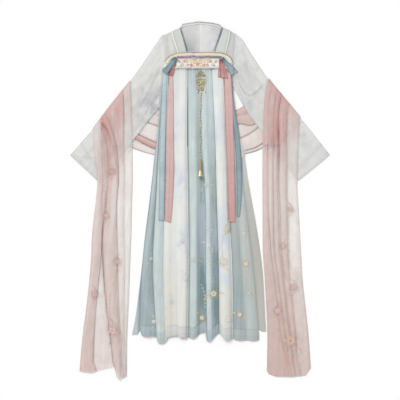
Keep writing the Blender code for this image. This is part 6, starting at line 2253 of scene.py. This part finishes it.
class Bloom(Enum):
    """Kinds of blossom: thread of the outer petals, of the inner ones, of the rim, and rings of petals."""

    gold = (linear(204, 204, 188), linear(220, 198, 142), linear(206, 186, 138), 2)
    white = (linear(212, 214, 214), linear(222, 222, 220), linear(222, 222, 218), 2)
    cream = (linear(208, 208, 194), linear(226, 220, 200), linear(204, 192, 158), 2)
    faint = (linear(198, 206, 204), linear(208, 214, 211), None, 1)
    outlined = (linear(176, 186, 186), linear(196, 196, 188), linear(214, 208, 192), 2)
    rose = (linear(208, 176, 167), linear(214, 186, 175), linear(200, 164, 152), 2)
    peony = (linear(198, 166, 154), linear(206, 180, 164), linear(192, 156, 132), 3)


@dataclass
class Flowers:
    """Embroidered blossoms scattered over the skirt and the shawl."""

    grown: float = 1.3
    skirt: Rows = (  # x, y, radius, turn and kind of each blossom, in millimetres and turns
        (118, -122, 12, 0.10, Bloom.gold), (36, -192, 10, 0.30, Bloom.white),
        (188, -142, 9, 0.60, Bloom.faint),
        (-60, -330, 12, 0.20, Bloom.white), (98, -262, 13, 0.70, Bloom.cream),
        (58, -398, 15, 0.45, Bloom.gold),
        (205, -396, 12, 0.15, Bloom.outlined), (-122, -432, 11, 0.15, Bloom.faint),
        (122, -506, 12, 0.60, Bloom.white),
        (8, -500, 11, 0.25, Bloom.gold), (-196, -516, 10, 0.15, Bloom.white),
        (-208, -250, 9, 0.15, Bloom.faint),
        (26, 62, 10, 0.50, Bloom.faint), (-72, -176, 9, 0.10, Bloom.faint),
        (196, -270, 10, 0.20, Bloom.cream),
        (-18, -256, 9, 0.40, Bloom.outlined), (30, -120, 8, 0.80, Bloom.faint),
        (168, -486, 10, 0.35, Bloom.cream))
    skirt_vines: Rows = (  # x, y, turn, length, bend, pairs of leaves and kind of each vine
        (50, -372, 0.28, 150, -0.06, 9, Bloom.white), (20, -478, 0.22, 120, 0.10, 7, Bloom.faint),
        (100, -246, 0.30, 110, -0.12, 7, Bloom.cream), (-62, -314, 0.20, 120, 0.10, 7, Bloom.faint),
        (196, -380, 0.27, 90, -0.08, 6, Bloom.outlined), (124, -490, 0.22, 90, 0.12, 6, Bloom.white),
        (-124, -446, 0.72, 90, -0.10, 6, Bloom.white), (40, -176, 0.20, 110, 0.14, 7, Bloom.faint),
        (-200, -500, 0.26, 110, 0.05, 7, Bloom.outlined), (190, -126, 0.28, 100, -0.04, 6, Bloom.outlined))
    shawl: Rows = (
        (-372, -556, 19, 0.15, Bloom.rose), (-352, -262, 12, 0.65, Bloom.rose),
        (-398, -66, 11, 0.15, Bloom.rose),
        (-372, 118, 10, 0.15, Bloom.rose), (-446, -400, 12, 0.15, Bloom.rose),
        (384, -598, 28, 0.15, Bloom.peony),
        (330, -470, 13, 0.65, Bloom.rose), (400, -372, 12, 0.15, Bloom.rose),
        (352, -196, 10, 0.65, Bloom.rose),
        (386, -40, 9, 0.15, Bloom.rose))
    shawl_vines: Rows = (
        (-380, -530, 0.27, 130, -0.04, 7, Bloom.rose), (-354, -280, 0.74, 120, -0.05, 7, Bloom.rose),
        (-398, -48, 0.24, 110, 0.05, 6, Bloom.rose), (350, -540, 0.26, 120, 0.04, 7, Bloom.peony),
        (352, -214, 0.74, 120, 0.06, 7, Bloom.rose))

    def scatter(self, wardrobe: Wardrobe, name: str, table: Rows, vines: Rows) -> None:
        """Stitches blossoms with satin petals, a knotted heart, outlines and leafy sprigs, then the vines."""
        work = Stitching(wardrobe)
        for x, y, radius, turn, kind in table:
            outer, inner, rim, rings = kind.value
            size, count = self.grown * radius, 5 + (rings > 2)
            centre = np.array([[x, y]])
            for ring in range(rings):
                work.petals(centre, size * (0.72 - 0.22 * ring), turn + 0.1 * ring,
                            inner if ring % 2 else outer, count)
            turns = turn + np.arange(5) / 5
            heart = circle(TURN * turns) * size * 0.12
            work.knots(centre + heart, 1.6, rim or inner)
            around = np.linspace(0, 1, 24 * count + 1)
            lobed = np.abs(np.cos(np.pi * count * (around - turn))) ** 0.55
            for wide in (1.0, 1.3)[:rings]:
                wave = circle(TURN * around, size * wide * (0.45 + 0.6 * lobed))
                work.line(wave + (x, y), rim or inner, 0.75)
            for k in range(1 + rings):
                out = turn + 0.1 + (0.37 + 0.06 * rings) * k
                root = circle(TURN * out, size) + (x, y)
                work.sprig(root, out, size * (1.7 - 0.25 * k), rim or inner, inner, 0.16 - 0.3 * (k % 2))
        for x, y, turn, length, bend, pairs, kind in vines:
            _, inner, rim, _ = kind.value
            work.sprig((x, y), turn, length, rim or inner, inner, bend, pairs)
        work.finish(name)

    def lay(self, wardrobe: Wardrobe) -> None:
        """Stitches the skirt's blossoms and the shawl's."""
        self.scatter(wardrobe, "skirt_blossoms", self.skirt, self.skirt_vines)
        self.scatter(wardrobe, "shawl_blossoms", self.shawl, self.shawl_vines)


# ---------------------------------------------------------------- the studio

@dataclass
class Studio:
    """Plain pale floor, soft even light and a camera straight above."""

    height: float = 4.0
    width: float = 1.70  # of what the camera sees of the floor
    floor_size: float = 60.0
    floor_top: float = -0.0006
    floor_grey: float = 0.92
    lens_width: float = 36.0
    sky: float = 0.66
    sun: float = 2.02
    sun_size: float = 0.5  # radians across
    sun_tilt: tuple[float, float] = (-38.0, -32.0)  # degrees about X and Y
    clear_layers: int = 32  # of sheer cloth that light goes through

    def build(self) -> None:
        """Builds the floor, the light and the camera."""
        half = self.floor_size / 2
        mesh = bpy.data.meshes.new("studio_floor")
        corners = [(x * half, y * half, self.floor_top) for x, y in ((-1, -1), (1, -1), (1, 1), (-1, 1))]
        mesh.from_pydata(corners, [], [(0, 1, 2, 3)])
        floor = bpy.data.objects.new("studio_floor", mesh)
        bpy.context.scene.collection.objects.link(floor)
        paper = bpy.data.materials.new("studio_paper")
        paper.use_nodes = True
        shader = paper.node_tree.nodes["Principled BSDF"]
        shader.inputs["Base Color"].default_value = (*[self.floor_grey] * 3, 1)
        shader.inputs["Roughness"].default_value = 1.0
        shader.inputs["Specular IOR Level"].default_value = 0.0
        mesh.materials.append(paper)
        world = bpy.data.worlds.new("studio_light")
        world.use_nodes = True
        sky = world.node_tree.nodes["Background"]
        sky.inputs["Color"].default_value = (1.0, 1.0, 1.0, 1)
        sky.inputs["Strength"].default_value = self.sky
        bpy.context.scene.world = world
        sun = bpy.data.lights.new("studio_window", "SUN")
        sun.energy = self.sun
        sun.angle = self.sun_size
        lamp = bpy.data.objects.new("studio_window", sun)
        lamp.rotation_euler = (*(math.radians(tilt) for tilt in self.sun_tilt), 0)
        bpy.context.scene.collection.objects.link(lamp)
        lens = bpy.data.cameras.new("studio_camera")
        lens.sensor_width = self.lens_width
        lens.lens = self.lens_width * self.height / self.width
        camera = bpy.data.objects.new("studio_camera", lens)
        camera.location = (0, 0, self.height)
        bpy.context.scene.collection.objects.link(camera)
        scene = bpy.context.scene
        scene.camera = camera
        scene.view_settings.view_transform = "Standard"
        if hasattr(scene, "cycles"):
            scene.cycles.transparent_max_bounces = self.clear_layers


def main() -> None:
    """Lays the robe piece by piece in the order in which it is put down, and builds the studio round it."""
    logging.basicConfig(level=logging.INFO, format="%(name)s: %(message)s")
    Studio().build()
    wardrobe = Wardrobe()
    shirt, shawl, skirt, chest, ribbons = Shirt(), Shawl(), Skirt(), Chest(), Ribbons()
    shawl.lay_back(wardrobe, shirt.sleeves)
    skirt.lay_back(wardrobe)
    shirt.lay(wardrobe)
    shawl.lay_ends(wardrobe, shirt.sleeves)
    skirt.lay_front(wardrobe)
    chest.lay_band(wardrobe)
    ribbons.lay_long(wardrobe)
    chest.lay_binding(wardrobe)
    chest.lay_strip(wardrobe)
    chest.lay_cord(wardrobe)
    ribbons.lay_short(wardrobe)
    Pendant().lay(wardrobe)
    Flowers().lay(wardrobe)
    log.info("%d pieces", len(wardrobe.made))


if __name__ == "__main__":
    main()
